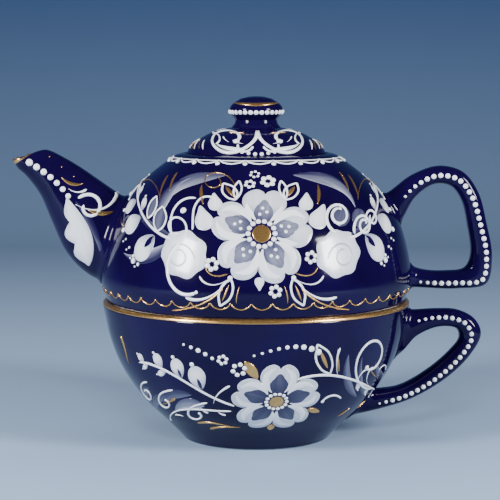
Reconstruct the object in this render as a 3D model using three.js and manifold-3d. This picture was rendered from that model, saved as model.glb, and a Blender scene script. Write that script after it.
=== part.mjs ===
// A tea-for-one set in porcelain: a lidded teapot that stands in the mouth of its own cup.
// Millimetres, +Z up. The origin is on the common axis of the turned pieces, at the cup's foot.
// The spout points along -X and both handles along +X.

import * as THREE from 'three';
import { mergeVertices } from 'three/addons/utils/BufferGeometryUtils.js';
import Module from 'manifold-3d';

// ---------------------------------------------------------------- driving dimensions

const JOINT_GAP = 0.3; // clearance where one fired piece meets another
const TURNED_SIDES = 36; // facets round the cup, the pot and the lid
const KNOB_SIDES = 20;

const CUP_WALL = 3.1;
const CUP_RIM_RADIUS = 63.0;
const CUP_RIM_HEIGHT = 57.0;
const CUP_FOOT_RADIUS = 30.2;
const CUP_FOOT_WIDTH = 4.2;
const CUP_FOOT_RECESS = 3.0;

const POT_WALL = 3.2;
const POT_LEDGE_HEIGHT = CUP_RIM_HEIGHT + JOINT_GAP; // ledge that hangs over the cup's rim
const POT_LEDGE_RADIUS = 61.2;
const POT_COLLAR_RADIUS = 58.8; // collar that drops into the cup's mouth
const POT_COLLAR_BOTTOM = 51.0;
const POT_UNDERSIDE = 54.6;
const POT_FLOOR = 58.0;
const POT_FLOOR_RADIUS = 55.1;
const POT_SEAT_RADIUS = 30.6; // outside of the ring that the lid sits in
const POT_SHOULDER_TOP = 116.9;
const POT_MOUTH_RADIUS = 24.9;

const LID_SEAT_HEIGHT = 116.0; // ledge inside the pot's mouth
const LID_SEAT_RADIUS = 28.9;
const LID_RADIUS = 28.4;
const LID_FLANGE_BOTTOM = LID_SEAT_HEIGHT + JOINT_GAP;
const LID_TOP = 127.4;
const LID_SKIRT_RADIUS = 24.2;
const LID_SKIRT_WALL = 2.6;
const LID_SKIRT_BOTTOM = 108.5;
const VENT_RADIUS = 1.5;
const VENT_DISTANCE = 15.5; // from the lid's axis, on the side away from the front

const KNOB_BOTTOM = LID_TOP + JOINT_GAP;
const OBJECT_TOP = 140.0;

const SPOUT_WALL = 2.3;
const MOUTH_WALL = 0.9; // the spout's wall thins towards its lip
const STRAINER_RADIUS = 1.9;
const STRAINER_PITCH = 6.4;
const STRAINER_HEIGHT = 82.0;

// Control points of the turned outsides, as [radius, height] from the bottom up.
const CUP_OUTSIDE = [[31.4, 1.6], [37.5, 8], [46.6, 17], [54.9, 29], [59.9, 41], [62.2, 51], [CUP_RIM_RADIUS, 55.2]];
const POT_OUTSIDE = [[61.5, 58.3], [63.6, 66], [62.0, 78], [58.2, 90], [50.9, 101], [42.7, 109], [33.0, 116.2]];
const LID_OUTSIDE = [[LID_RADIUS, 117.1], [26.4, 120.3], [22.6, 123.0], [17.4, 125.6], [9.6, LID_TOP]];
const KNOB_OUTSIDE = [[8.4, 130.4], [10.9, 133.5], [9.3, 136.1], [5.0, 139.1]];

// Stations of the lofted pieces: [outer x, outer z, inner x, inner z, half breadth in y].
const SPOUT_STATIONS = [
  [-92.7, 116.2, -99.5, 113.7, 5.3],
  [-89.6, 117.6, -97.4, 110.5, 5.8],
  [-85.6, 118.2, -94.2, 107.6, 6.4],
  [-77.8, 114.6, -88.4, 99.7, 8.0],
  [-71.2, 110.6, -83.8, 88.8, 9.8],
  [-64.0, 105.6, -77.8, 75.8, 12.0],
  [-56.2, 100.2, -68.0, 66.3, 14.2],
  [-48.0, 95.0, -54.0, 62.0, 15.5],
];
const POT_HANDLE_STATIONS = [
  [46.0, 95.6, 52.5, 80.0, 6.4],
  [54.9, 101.4, 59.6, 89.2, 5.8],
  [63.8, 108.0, 65.2, 98.8, 5.2],
  [74.8, 111.7, 72.9, 104.1, 4.9],
  [84.6, 109.2, 79.6, 103.3, 4.8],
  [91.0, 100.8, 84.0, 97.6, 4.8],
  [94.6, 88.0, 86.6, 87.2, 4.8],
  [97.0, 74.5, 88.0, 74.8, 4.9],
  [94.8, 63.2, 85.6, 69.8, 5.0],
  [83.0, 61.1, 78.0, 68.6, 5.1],
  [68.0, 61.5, 68.0, 69.2, 5.5],
  [56.0, 62.2, 56.0, 74.0, 6.6],
];
const CUP_HANDLE_STATIONS = [
  [52.0, 52.0, 52.0, 30.0, 6.4],
  [65.0, 52.3, 60.0, 34.6, 5.8],
  [74.5, 52.8, 65.6, 41.0, 5.2],
  [83.0, 52.3, 75.2, 45.2, 4.9],
  [90.2, 48.5, 82.6, 44.4, 4.8],
  [92.9, 42.4, 83.6, 40.4, 4.8],
  [88.6, 33.6, 79.8, 35.2, 4.8],
  [78.7, 23.8, 70.6, 27.2, 4.9],
  [64.5, 15.3, 59.4, 20.8, 5.2],
  [51.0, 10.9, 50.4, 19.2, 5.8],
  [36.0, 7.6, 36.0, 17.0, 6.6],
];

// ---------------------------------------------------------------- solid helpers

const wasm = await Module();
wasm.setup();

const UP = new THREE.Vector3(0, 0, 1);

/** A closed three.js geometry as a solid for joining and cutting. */
function toSolid(geometry) {
  const bare = geometry.index ? geometry.clone() : geometry;
  bare.deleteAttribute('normal');
  bare.deleteAttribute('uv');
  const merged = mergeVertices(bare, 1e-4);
  const vertProperties = new Float32Array(merged.attributes.position.array);
  const triVerts = new Uint32Array(merged.index.array);
  return new wasm.Manifold(new wasm.Mesh({ numProp: 3, vertProperties, triVerts }));
}

/** A solid back as a three.js geometry. */
function toGeometry(solid) {
  const mesh = solid.getMesh();
  const geometry = new THREE.BufferGeometry();
  geometry.setAttribute('position', new THREE.BufferAttribute(new Float32Array(mesh.vertProperties), 3));
  geometry.setIndex(new THREE.BufferAttribute(new Uint32Array(mesh.triVerts), 1));
  geometry.computeVertexNormals();
  return geometry;
}

/** A profile of [radius, height] pairs, from axis to axis or closed on itself, turned about Z. */
function turned(profile, sides = TURNED_SIDES) {
  const points = profile.map(([radius, height]) => new THREE.Vector2(radius, height));
  const geometry = new THREE.LatheGeometry(points, sides);
  geometry.rotateX(Math.PI / 2);
  return toSolid(geometry);
}

/** A smooth curve through control points, as [radius, height] pairs. */
function smoothed(controls, divisions) {
  const curve = new THREE.SplineCurve(controls.map(([radius, height]) => new THREE.Vector2(radius, height)));
  return curve.getPoints(divisions).map((point) => [point.x, point.y]);
}

/** The same curve moved sideways: inwards, to the left of its direction, by the given distance. */
function offset(profile, distance) {
  return profile.map(([radius, height], i) => {
    const before = profile[Math.max(i - 1, 0)];
    const after = profile[Math.min(i + 1, profile.length - 1)];
    const run = after[0] - before[0];
    const rise = after[1] - before[1];
    const length = Math.hypot(run, rise);
    return [radius - (distance * rise) / length, height + (distance * run) / length];
  });
}

/** A round or squarish bar that runs through stations; its section is trimmed by the wall. */
function lofted(stations, { sides = 12, stepsEach = 2, squareness = 2, wall = () => 0 } = {}) {
  const outer = new THREE.CatmullRomCurve3(stations.map(([x, z]) => new THREE.Vector3(x, 0, z)));
  const inner = new THREE.CatmullRomCurve3(stations.map(([, , x, z]) => new THREE.Vector3(x, 0, z)));
  const breadth = new THREE.SplineCurve(stations.map((station, i) => new THREE.Vector2(i, station[4])));
  const geometry = new THREE.CylinderGeometry(1, 1, 1, sides, (stations.length - 1) * stepsEach);
  const position = geometry.attributes.position;
  const point = new THREE.Vector3();
  for (let i = 0; i < position.count; i += 1) {
    point.fromBufferAttribute(position, i);
    const along = 0.5 - point.y;
    const outerEdge = outer.getPoint(along);
    const innerEdge = inner.getPoint(along);
    const middle = outerEdge.clone().add(innerEdge).multiplyScalar(0.5);
    const depth = outerEdge.clone().sub(middle);
    const thickness = depth.length();
    const cut = wall(along);
    const across = rounded(point.x, squareness) * ((thickness - cut) / thickness);
    const sideways = rounded(-point.z, squareness) * (breadth.getPoint(along).y - cut);
    point.copy(middle).addScaledVector(depth, across);
    point.y = sideways;
    position.setXYZ(i, point.x, point.y, point.z);
  }
  return toSolid(geometry);
}

/** One coordinate of a unit circle, pushed out towards a square as the power grows past 2. */
function rounded(value, power) {
  return Math.sign(value) * Math.abs(value) ** (2 / power);
}

/** A round bar with flat ends, centred on a point and lying along a direction. */
function bar(radius, length, centre, direction, sides = 10) {
  const geometry = new THREE.CylinderGeometry(radius, radius, length, sides);
  geometry.applyQuaternion(new THREE.Quaternion().setFromUnitVectors(new THREE.Vector3(0, 1, 0), direction));
  geometry.translate(centre.x, centre.y, centre.z);
  return toSolid(geometry);
}

/** A turned outside closed to the axis and grown by the joint gap, for trimming what meets it. */
function envelope(outside) {
  const grown = offset(outside, -JOINT_GAP);
  const lowest = grown[0][1];
  const highest = grown[grown.length - 1][1];
  return turned([[0, lowest], ...grown, [0, highest]]);
}

// ---------------------------------------------------------------- pieces

const cupOutside = smoothed(CUP_OUTSIDE, 11);
const potOutside = smoothed(POT_OUTSIDE, 12);

/** Cup: foot ring, bowl, rounded rim and the inside of the bowl. */
function makeCupBowl() {
  const inside = offset(cupOutside.slice(2), CUP_WALL).reverse();
  const footInner = CUP_FOOT_RADIUS - CUP_FOOT_WIDTH;
  return turned([
    [0, CUP_FOOT_RECESS],
    [footInner - 1.2, CUP_FOOT_RECESS],
    [footInner, 0],
    [CUP_FOOT_RADIUS, 0],
    ...cupOutside,
    [CUP_RIM_RADIUS - 0.4, CUP_RIM_HEIGHT - 0.6],
    [CUP_RIM_RADIUS - 1.5, CUP_RIM_HEIGHT],
    [CUP_RIM_RADIUS - 2.6, CUP_RIM_HEIGHT - 0.5],
    ...inside,
    [30, 7.4],
    [20, 6.4],
    [0, 6.2],
  ]);
}

/** Pot: ledge and collar that seat in the cup, belly, shoulder and strainer, open at the floor and the mouth. */
function makePotBody() {
  const inside = offset(potOutside, POT_WALL).slice(1, -1).reverse();
  const seatRim = POT_SEAT_RADIUS + JOINT_GAP;
  const floorRim = POT_FLOOR_RADIUS + JOINT_GAP;
  const shell = turned([
    [floorRim, POT_COLLAR_BOTTOM],
    [POT_COLLAR_RADIUS - 0.8, POT_COLLAR_BOTTOM],
    [POT_COLLAR_RADIUS, POT_COLLAR_BOTTOM + 1],
    [POT_COLLAR_RADIUS, POT_LEDGE_HEIGHT],
    [POT_LEDGE_RADIUS, POT_LEDGE_HEIGHT],
    ...potOutside,
    [seatRim + 0.6, POT_SHOULDER_TOP],
    [seatRim, POT_SHOULDER_TOP],
    [seatRim, LID_SEAT_HEIGHT - POT_WALL - 0.4],
    ...inside,
    [floorRim, POT_FLOOR + 0.4],
    [floorRim, POT_COLLAR_BOTTOM],
  ]);
  return strainerHoles().reduce((solid, hole) => solid.subtract(hole), shell);
}

/** Floor of the pot: a flat disc let into the collar. */
function makePotFloor() {
  return turned([
    [0, POT_UNDERSIDE],
    [POT_FLOOR_RADIUS, POT_UNDERSIDE],
    [POT_FLOOR_RADIUS, POT_FLOOR],
    [0, POT_FLOOR],
  ]);
}

/** Seat of the lid: a ring inside the pot's mouth with a rebate that the lid's flange rests in. */
function makePotSeat() {
  return turned([
    [POT_MOUTH_RADIUS, LID_SEAT_HEIGHT - POT_WALL],
    [POT_SEAT_RADIUS, LID_SEAT_HEIGHT - POT_WALL],
    [POT_SEAT_RADIUS, POT_SHOULDER_TOP],
    [LID_SEAT_RADIUS + 0.4, POT_SHOULDER_TOP],
    [LID_SEAT_RADIUS, LID_SEAT_HEIGHT],
    [POT_MOUTH_RADIUS, LID_SEAT_HEIGHT],
    [POT_MOUTH_RADIUS, LID_SEAT_HEIGHT - POT_WALL],
  ]);
}

/** Seven holes through the pot's wall behind the spout: one in the middle and six round it. */
function strainerHoles() {
  const places = [[0, 0]];
  for (let turn = 0; turn < 6; turn += 1) {
    const angle = (turn * Math.PI) / 3;
    places.push([STRAINER_PITCH * Math.cos(angle), STRAINER_PITCH * Math.sin(angle)]);
  }
  const sideways = new THREE.Vector3(-1, 0, 0);
  return places.map(([y, z]) => {
    const centre = new THREE.Vector3(-POT_OUTSIDE[2][0] + 1, y, STRAINER_HEIGHT + z);
    return bar(STRAINER_RADIUS, 16, centre, sideways, 8);
  });
}

/** Spout: a tapering beak with a clear channel from the strainer to its lip. */
function makePotSpout() {
  const beak = lofted(SPOUT_STATIONS, { sides: 16 });
  const mouthAlong = 1 / SPOUT_STATIONS.length;
  const wall = (along) => THREE.MathUtils.mapLinear(
    THREE.MathUtils.clamp(along, mouthAlong, 0.5), mouthAlong, 0.5, MOUTH_WALL, SPOUT_WALL,
  );
  const mouth = SPOUT_STATIONS[0];
  const next = SPOUT_STATIONS[1];
  const beyond = mouth.map((value, i) => value + (value - next[i]) * (i === 4 ? 0 : 0.5));
  const channel = lofted([beyond, ...SPOUT_STATIONS], { sides: 12, wall });
  return beak.subtract(channel).subtract(envelope(potOutside));
}

/** Handle of the pot: a rounded D with a squared lower corner. */
function makePotHandle() {
  return lofted(POT_HANDLE_STATIONS, { squareness: 2.5 }).subtract(envelope(potOutside));
}

/** Handle of the cup: a pointed loop that sweeps back under the bowl. */
function makeCupHandle() {
  return lofted(CUP_HANDLE_STATIONS, { squareness: 2.5 }).subtract(envelope(cupOutside));
}

/** Lid: domed shell with a flange, a skirt that drops into the mouth, and a steam vent. */
function makeLidShell() {
  const dome = smoothed(LID_OUTSIDE, 7);
  const skirtInner = LID_SKIRT_RADIUS - LID_SKIRT_WALL;
  const shell = turned([
    [0, LID_TOP - 3.2],
    [9, LID_TOP - 3.2],
    [15.4, LID_TOP - 4.3],
    [19.4, LID_TOP - 6],
    [skirtInner, LID_TOP - 8],
    [skirtInner, LID_SKIRT_BOTTOM],
    [LID_SKIRT_RADIUS, LID_SKIRT_BOTTOM],
    [LID_SKIRT_RADIUS, LID_FLANGE_BOTTOM],
    [LID_RADIUS - 0.3, LID_FLANGE_BOTTOM],
    ...dome,
    [0, LID_TOP],
  ]);
  const vent = bar(VENT_RADIUS, 16, new THREE.Vector3(0, VENT_DISTANCE, LID_TOP - 4), UP);
  return shell.subtract(vent);
}

/** Knob: a waisted stem under a domed button. */
function makeLidKnob() {
  return turned([
    [0, KNOB_BOTTOM],
    [9.6, KNOB_BOTTOM],
    [8.8, KNOB_BOTTOM + 1.1],
    ...smoothed(KNOB_OUTSIDE, 9),
    [2.4, OBJECT_TOP - 0.2],
    [0, OBJECT_TOP],
  ], KNOB_SIDES);
}

// ---------------------------------------------------------------- scene graph

/** One named mesh with a material of its own. */
function piece(name, solid, colour, roughness) {
  const material = new THREE.MeshStandardMaterial({ color: colour, roughness, metalness: 0 });
  const mesh = new THREE.Mesh(toGeometry(solid), material);
  mesh.name = name;
  return mesh;
}

const COBALT_GLAZE = '#120c63';
const GLAZE_ROUGHNESS = 0.12;

const cup = new THREE.Group();
cup.add(piece('cup_bowl', makeCupBowl(), COBALT_GLAZE, GLAZE_ROUGHNESS));
cup.add(piece('cup_handle', makeCupHandle(), COBALT_GLAZE, GLAZE_ROUGHNESS));

const teapot = new THREE.Group();
teapot.add(piece('pot_body', makePotBody(), COBALT_GLAZE, GLAZE_ROUGHNESS));
teapot.add(piece('pot_floor', makePotFloor(), COBALT_GLAZE, GLAZE_ROUGHNESS));
teapot.add(piece('pot_seat', makePotSeat(), COBALT_GLAZE, GLAZE_ROUGHNESS));
teapot.add(piece('pot_spout', makePotSpout(), COBALT_GLAZE, GLAZE_ROUGHNESS));
teapot.add(piece('pot_handle', makePotHandle(), COBALT_GLAZE, GLAZE_ROUGHNESS));

const lid = new THREE.Group();
lid.add(piece('lid_shell', makeLidShell(), COBALT_GLAZE, GLAZE_ROUGHNESS));
lid.add(piece('lid_knob', makeLidKnob(), COBALT_GLAZE, GLAZE_ROUGHNESS));

const teaForOne = new THREE.Group();
teaForOne.add(cup, teapot, lid);

export default teaForOne;
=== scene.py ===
"""A tea-for-one set: a lidded teapot that stands in the mouth of its own cup, in cobalt and white porcelain.

Sizes are in millimetres and become metres where a mesh is made. The origin is on the axis of the turned
pieces, in the plane of the cup's foot. The spout points along -X, both handles along +X, and the painted
front faces -Y. Places in the painting are measured on the surface: millimetres sideways and upwards from
the middle of each design.
"""

import logging
import math
from dataclasses import dataclass, field
from enum import Enum, auto
from typing import Callable, Iterable, Sequence

import bmesh
import bpy
import numpy as np
from mathutils import Matrix, Vector


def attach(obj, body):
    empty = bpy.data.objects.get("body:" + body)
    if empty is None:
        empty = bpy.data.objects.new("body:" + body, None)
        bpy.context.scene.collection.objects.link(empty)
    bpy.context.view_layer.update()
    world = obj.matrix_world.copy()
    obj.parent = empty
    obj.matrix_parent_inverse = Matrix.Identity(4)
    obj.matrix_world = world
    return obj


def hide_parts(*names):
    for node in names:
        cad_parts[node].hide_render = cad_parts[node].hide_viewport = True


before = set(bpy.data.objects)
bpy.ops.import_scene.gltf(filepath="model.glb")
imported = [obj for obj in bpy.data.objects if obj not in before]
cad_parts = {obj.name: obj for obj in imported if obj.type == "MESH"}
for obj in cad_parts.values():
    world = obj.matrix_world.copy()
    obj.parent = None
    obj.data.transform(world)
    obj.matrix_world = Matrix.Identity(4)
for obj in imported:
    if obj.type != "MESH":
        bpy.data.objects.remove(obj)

MM = 0.001
Path = Sequence[tuple[float, float]]
log = logging.getLogger("tea_for_one")


# ---------------------------------------------------------------- curves


def smooth_path(points: Sequence[Sequence[float]], count: int, closed: bool = False) -> np.ndarray:
    """A smooth curve through points, with knots spaced by distance.

    Args:
        points: the places it passes through, in any number of dimensions.
        count: how many samples to give back.
        closed: whether the curve runs back to its first point.

    Returns:
        The samples, one row each.
    """
    knots = np.asarray(points, float)
    if closed:
        knots = np.vstack([knots[-1], knots, knots[:2]])
    else:
        knots = np.vstack([2 * knots[0] - knots[1], knots, 2 * knots[-1] - knots[-2]])
    segments = len(knots) - 3
    along = np.linspace(0, segments, count, endpoint=not closed)
    index = np.minimum(along.astype(int), segments - 1)
    share = (along - index)[:, None]
    before, start, end, after = (knots[index + step] for step in range(4))
    gaps = [
        np.maximum(np.sqrt(np.linalg.norm(b - a, axis=1)), 1e-3)[:, None]
        for a, b in ((before, start), (start, end), (end, after))
    ]
    first, middle, last = gaps
    leave = ((start - before) / first - (end - before) / (first + middle) + (end - start) / middle) * middle
    arrive = ((end - start) / middle - (after - start) / (middle + last) + (after - end) / last) * middle
    rise = end - start
    square = 3 * rise - 2 * leave - arrive
    cube = leave + arrive - 2 * rise
    return start + leave * share + square * share**2 + cube * share**3


def rounded_corners(profile: Sequence[tuple[float, float]], radius: float) -> list[tuple[float, float]]:
    """A profile whose sharp corners are turned into small arcs.

    Args:
        profile: radius and height of each point.
        radius: how far from the corner each arc starts, shortened where an edge is short.

    Returns:
        The new profile.
    """
    points = [np.array(point, float) for point in profile]
    made = [points[0]]
    for before, corner, after in zip(points, points[1:], points[2:]):
        back, ahead = before - corner, after - corner
        lengths = np.linalg.norm(back), np.linalg.norm(ahead)
        cosine = float(back @ ahead) / (lengths[0] * lengths[1])
        if cosine < math.cos(math.radians(160)):
            made.append(corner)
            continue
        reach = min(radius, 0.42 * lengths[0], 0.42 * lengths[1])
        start, end = corner + back / lengths[0] * reach, corner + ahead / lengths[1] * reach
        for share in np.linspace(0, 1, 6):
            made.append(start * (1 - share) ** 2 + 2 * corner * share * (1 - share) + end * share**2)
    made.append(points[-1])
    return [(float(r), float(z)) for r, z in made]


class Outline:
    """The outside of a turned piece, measured along its length from the lower edge up."""

    def __init__(self, controls: Sequence[Sequence[float]], samples: int = 90) -> None:
        """Fits a smooth curve through the controls.

        Args:
            controls: radius and height of each control point.
            samples: how many points the curve is kept as.
        """
        knots = np.asarray(controls, float)
        padded = np.vstack([knots[0], knots, knots[-1]])
        along = np.linspace(0, len(knots) - 1, samples)
        index = np.minimum(along.astype(int), len(knots) - 2)
        share = (along - index)[:, None]
        before, start, end, after = (padded[index + step] for step in range(4))
        leave, arrive = (end - before) / 2, (after - start) / 2
        rise = end - start
        self.points = (
            start
            + leave * share
            + (3 * rise - 2 * leave - arrive) * share**2
            + (leave + arrive - 2 * rise) * share**3
        )
        steps = np.hypot(*np.diff(self.points, axis=0).T)
        self.lengths = np.concatenate([[0.0], np.cumsum(steps)])
        slopes = np.gradient(self.points, self.lengths, axis=0)
        self.normals = np.stack([slopes[:, 1], -slopes[:, 0]], axis=1)
        self.normals /= np.linalg.norm(self.normals, axis=1)[:, None]

    def at(self, up: np.ndarray) -> tuple[np.ndarray, np.ndarray]:
        """Radius and height at distances up the outline, carried straight on past its ends.

        Args:
            up: distances up the outline, in millimetres.

        Returns:
            The radii and the heights.
        """
        clamped = np.clip(up, 0, self.lengths[-1])
        past = up - clamped
        normal = self.normal(clamped)
        place = np.stack([np.interp(clamped, self.lengths, axis) for axis in self.points.T])
        return place[0] - past * normal[1], place[1] + past * normal[0]

    def normal(self, up: np.ndarray) -> np.ndarray:
        """The outward normal, as radius and height parts, at distances up the outline."""
        parts = np.stack([np.interp(up, self.lengths, axis) for axis in self.normals.T])
        return parts / np.linalg.norm(parts, axis=0)

    def moved(self, distance: float) -> list[tuple[float, float]]:
        """The outline moved outwards by a distance."""
        return [tuple(point) for point in self.points + self.normals * distance]

    def height_above(self, points: np.ndarray) -> np.ndarray:
        """How far points in space lie outside the turned surface; negative inside.

        Args:
            points: rows of x, y and z.

        Returns:
            One distance for each row.
        """
        radius = np.hypot(points[:, 0], points[:, 1])
        flat = np.stack([radius, points[:, 2]], axis=1)
        gaps = flat[:, None, :] - self.points[None, :, :]
        nearest = np.argmin((gaps**2).sum(axis=2), axis=1)
        rows = np.arange(len(points))
        return (gaps[rows, nearest] * self.normals[nearest]).sum(axis=1)


# ---------------------------------------------------------------- shader sheets


class Signal:
    """A value or colour in a shader that ordinary operators work on."""

    def __init__(self, sheet: "Sheet", socket: bpy.types.NodeSocket) -> None:
        """Keeps the sheet and the socket that the value comes out of."""
        self.sheet = sheet
        self.socket = socket

    def _join(self, operation: str, first: object, second: object) -> "Signal":
        """Adds one Math node."""
        node = self.sheet.node("ShaderNodeMath", {"operation": operation}, {0: first, 1: second})
        return Signal(self.sheet, node.outputs[0])

    def __add__(self, other: object) -> "Signal":
        """self + other."""
        return self._join("ADD", self, other)

    def __radd__(self, other: object) -> "Signal":
        """other + self."""
        return self._join("ADD", other, self)

    def __sub__(self, other: object) -> "Signal":
        """self - other."""
        return self._join("SUBTRACT", self, other)

    def __rsub__(self, other: object) -> "Signal":
        """other - self."""
        return self._join("SUBTRACT", other, self)

    def __mul__(self, other: object) -> "Signal":
        """self * other."""
        return self._join("MULTIPLY", self, other)

    def __rmul__(self, other: object) -> "Signal":
        """other * self."""
        return self._join("MULTIPLY", other, self)

    def __pow__(self, other: object) -> "Signal":
        """self to the power of other."""
        return self._join("POWER", self, other)

    def clamped(self) -> "Signal":
        """The value kept between 0 and 1."""
        return self._join("MAXIMUM", self._join("MINIMUM", self, 1.0), 0.0)


class Sheet:
    """One material's node tree, with a Principled shader ready to be fed."""

    def __init__(self, name: str) -> None:
        """Starts a material of this name.

        Args:
            name: what it is called.
        """
        self.material = bpy.data.materials.new(name)
        self.material.use_nodes = True
        self.tree = self.material.node_tree
        self.shader = self.tree.nodes["Principled BSDF"]

    def node(self, kind: str, settings: dict, values: dict) -> bpy.types.Node:
        """Adds a node.

        Args:
            kind: the node's type.
            settings: its own properties, set first.
            values: a number, a tuple or a Signal for each input, by name or index.

        Returns:
            The node.
        """
        made = self.tree.nodes.new(kind)
        for name, value in settings.items():
            setattr(made, name, value)
        for name, value in values.items():
            self.feed(made.inputs[name], value)
        return made

    def feed(self, socket: bpy.types.NodeSocket, value: object) -> None:
        """Links a Signal to an input, or sets its value."""
        if isinstance(value, Signal):
            self.tree.links.new(value.socket, socket)
        else:
            socket.default_value = value

    def set(self, **values: object) -> None:
        """Feeds the Principled shader, with underscores for the spaces in its inputs' names."""
        for name, value in values.items():
            self.feed(self.shader.inputs[name.replace("_", " ")], value)

    def place(self) -> Signal:
        """Coordinates of the piece itself, in metres."""
        return Signal(self, self.node("ShaderNodeTexCoord", {}, {}).outputs["Object"])

    def attribute(self, name: str, output: str = "Fac") -> Signal:
        """What the mesh says under this attribute's name."""
        node = self.node("ShaderNodeAttribute", {"attribute_name": name}, {})
        return Signal(self, node.outputs[output])

    def noise(self, where: Signal, scale: float, detail: float = 3.0) -> Signal:
        """Noise between 0 and 1."""
        values = {"Vector": where, "Scale": scale, "Detail": detail}
        return Signal(self, self.node("ShaderNodeTexNoise", {}, values).outputs["Fac"])

    def stretched(self, where: Signal, scale: tuple[float, float, float]) -> Signal:
        """Coordinates stretched along each axis."""
        node = self.node("ShaderNodeMapping", {}, {"Vector": where, "Scale": scale})
        return Signal(self, node.outputs[0])

    def mixed(self, share: object, first: object, second: object) -> Signal:
        """A blend of two colours."""
        node = self.node("ShaderNodeMix", {"data_type": "RGBA"}, {0: share, 6: first, 7: second})
        return Signal(self, node.outputs[2])

    def bumped(self, height: Signal, strength: float, distance: float) -> Signal:
        """A normal bent by a height, for a distance in metres."""
        values = {"Height": height, "Strength": strength, "Distance": distance}
        return Signal(self, self.node("ShaderNodeBump", {}, values).outputs["Normal"])


def opaque(red: float, green: float, blue: float) -> tuple[float, float, float, float]:
    """A solid colour, linear."""
    return (red, green, blue, 1.0)


COBALT_DEEP = opaque(0.0026, 0.0003, 0.015)
COBALT_THIN = opaque(0.0052, 0.0005, 0.038)
ENAMEL_THIN = opaque(0.52, 0.57, 0.78)
ENAMEL_WHITE = opaque(0.90, 0.93, 0.97)


@dataclass(frozen=True)
class CobaltGlaze:
    """Deep cobalt under a clear gloss that pools a little darker and lighter."""

    name: str = "fired_cobalt"
    roughness: float = 0.07
    ripple: float = 0.05

    def make(self) -> bpy.types.Material:
        """The finished material."""
        sheet = Sheet(self.name)
        where = sheet.place()
        pooled = sheet.noise(where, 38.0, 4.0)
        specks = sheet.noise(where, 900.0, 2.0)
        colour = sheet.mixed((pooled * 1.6 - 0.3).clamped(), COBALT_DEEP, COBALT_THIN)
        height = sheet.noise(where, 160.0, 2.0) * 0.8 + specks * 0.1
        sheet.set(
            Base_Color=colour,
            Roughness=self.roughness + 0.05 * sheet.noise(where, 70.0, 3.0),
            Normal=sheet.bumped(height, self.ripple, 0.0006),
            IOR=1.5,
            Specular_IOR_Level=0.2,
        )
        return sheet.material


@dataclass(frozen=True)
class BrushedEnamel:
    """White enamel whose cover, from bare cobalt to solid white, is told by each stroke."""

    name: str = "brushed_enamel"
    roughness: float = 0.2
    streak: float = 0.42

    def make(self) -> bpy.types.Material:
        """The finished material."""
        sheet = Sheet(self.name)
        where = sheet.place()
        grain = sheet.attribute("grain", "Vector")
        cover = sheet.attribute("cover")
        hairs = sheet.noise(sheet.stretched(grain, (0.10, 1.9, 1.0)), 1.0, 4.0)
        wide = sheet.noise(sheet.stretched(grain, (0.05, 0.55, 1.0)), 1.0, 2.0)
        drag = (hairs * 0.6 + wide * 0.7 - 0.5) * self.streak
        thin = cover * (1.0 - cover) * 3.0 + 0.10
        laid = (cover - drag * thin).clamped()
        strength = laid**2.0
        paint = sheet.mixed(strength, ENAMEL_THIN, ENAMEL_WHITE)
        sheet.set(
            Base_Color=sheet.mixed(strength, COBALT_THIN, paint),
            Roughness=self.roughness - 0.10 * (1.0 - laid),
            Normal=sheet.bumped(hairs + sheet.noise(where, 800.0, 2.0) * 0.3, 0.10, 0.0002),
            IOR=1.5,
            Coat_Weight=0.25,
            Coat_Roughness=0.06,
        )
        return sheet.material


@dataclass(frozen=True)
class ThickEnamel:
    """White enamel laid on thick, as in dots and beads."""

    name: str = "thick_enamel"
    roughness: float = 0.18

    def make(self) -> bpy.types.Material:
        """The finished material."""
        sheet = Sheet(self.name)
        where = sheet.place()
        cloud = sheet.noise(where, 420.0, 3.0)
        sheet.set(
            Base_Color=sheet.mixed(cloud, opaque(0.86, 0.89, 0.95), opaque(0.95, 0.96, 0.98)),
            Roughness=self.roughness + 0.10 * cloud,
            Normal=sheet.bumped(cloud, 0.08, 0.0003),
            IOR=1.5,
            Coat_Weight=0.3,
            Coat_Roughness=0.05,
        )
        return sheet.material


@dataclass(frozen=True)
class Gilding:
    """Fired gold that is brushed thin in places and worn a little brown."""

    name: str = "fired_gold"
    roughness: float = 0.2
    bright: tuple[float, float, float, float] = opaque(0.84, 0.50, 0.17)
    worn: tuple[float, float, float, float] = opaque(0.42, 0.21, 0.07)

    def make(self) -> bpy.types.Material:
        """The finished material."""
        sheet = Sheet(self.name)
        where = sheet.place()
        wear = (sheet.noise(where, 260.0, 4.0) * 2.2 - 0.75).clamped()
        brushed = sheet.noise(sheet.stretched(where, (300.0, 300.0, 2600.0)), 1.0, 2.0)
        sheet.set(
            Base_Color=sheet.mixed(wear * 0.75, self.bright, self.worn),
            Roughness=self.roughness + wear * 0.16,
            Normal=sheet.bumped(brushed, 0.16, 0.0002),
            Metallic=0.92,
        )
        return sheet.material


@dataclass(frozen=True)
class ClearGlaze:
    """White porcelain under clear glaze, inside the pieces and under them."""

    name: str = "fired_clear"
    roughness: float = 0.1

    def make(self) -> bpy.types.Material:
        """The finished material."""
        sheet = Sheet(self.name)
        where = sheet.place()
        cloud = sheet.noise(where, 45.0, 3.0)
        pinholes = sheet.noise(where, 1400.0, 2.0)
        sheet.set(
            Base_Color=sheet.mixed(cloud, opaque(0.74, 0.75, 0.74), opaque(0.82, 0.83, 0.81)),
            Roughness=self.roughness + 0.06 * cloud,
            Normal=sheet.bumped(sheet.noise(where, 150.0, 2.0) + pinholes * 0.15, 0.05, 0.0006),
            IOR=1.5,
            Coat_Weight=0.3,
            Coat_Roughness=0.04,
        )
        return sheet.material


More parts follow.
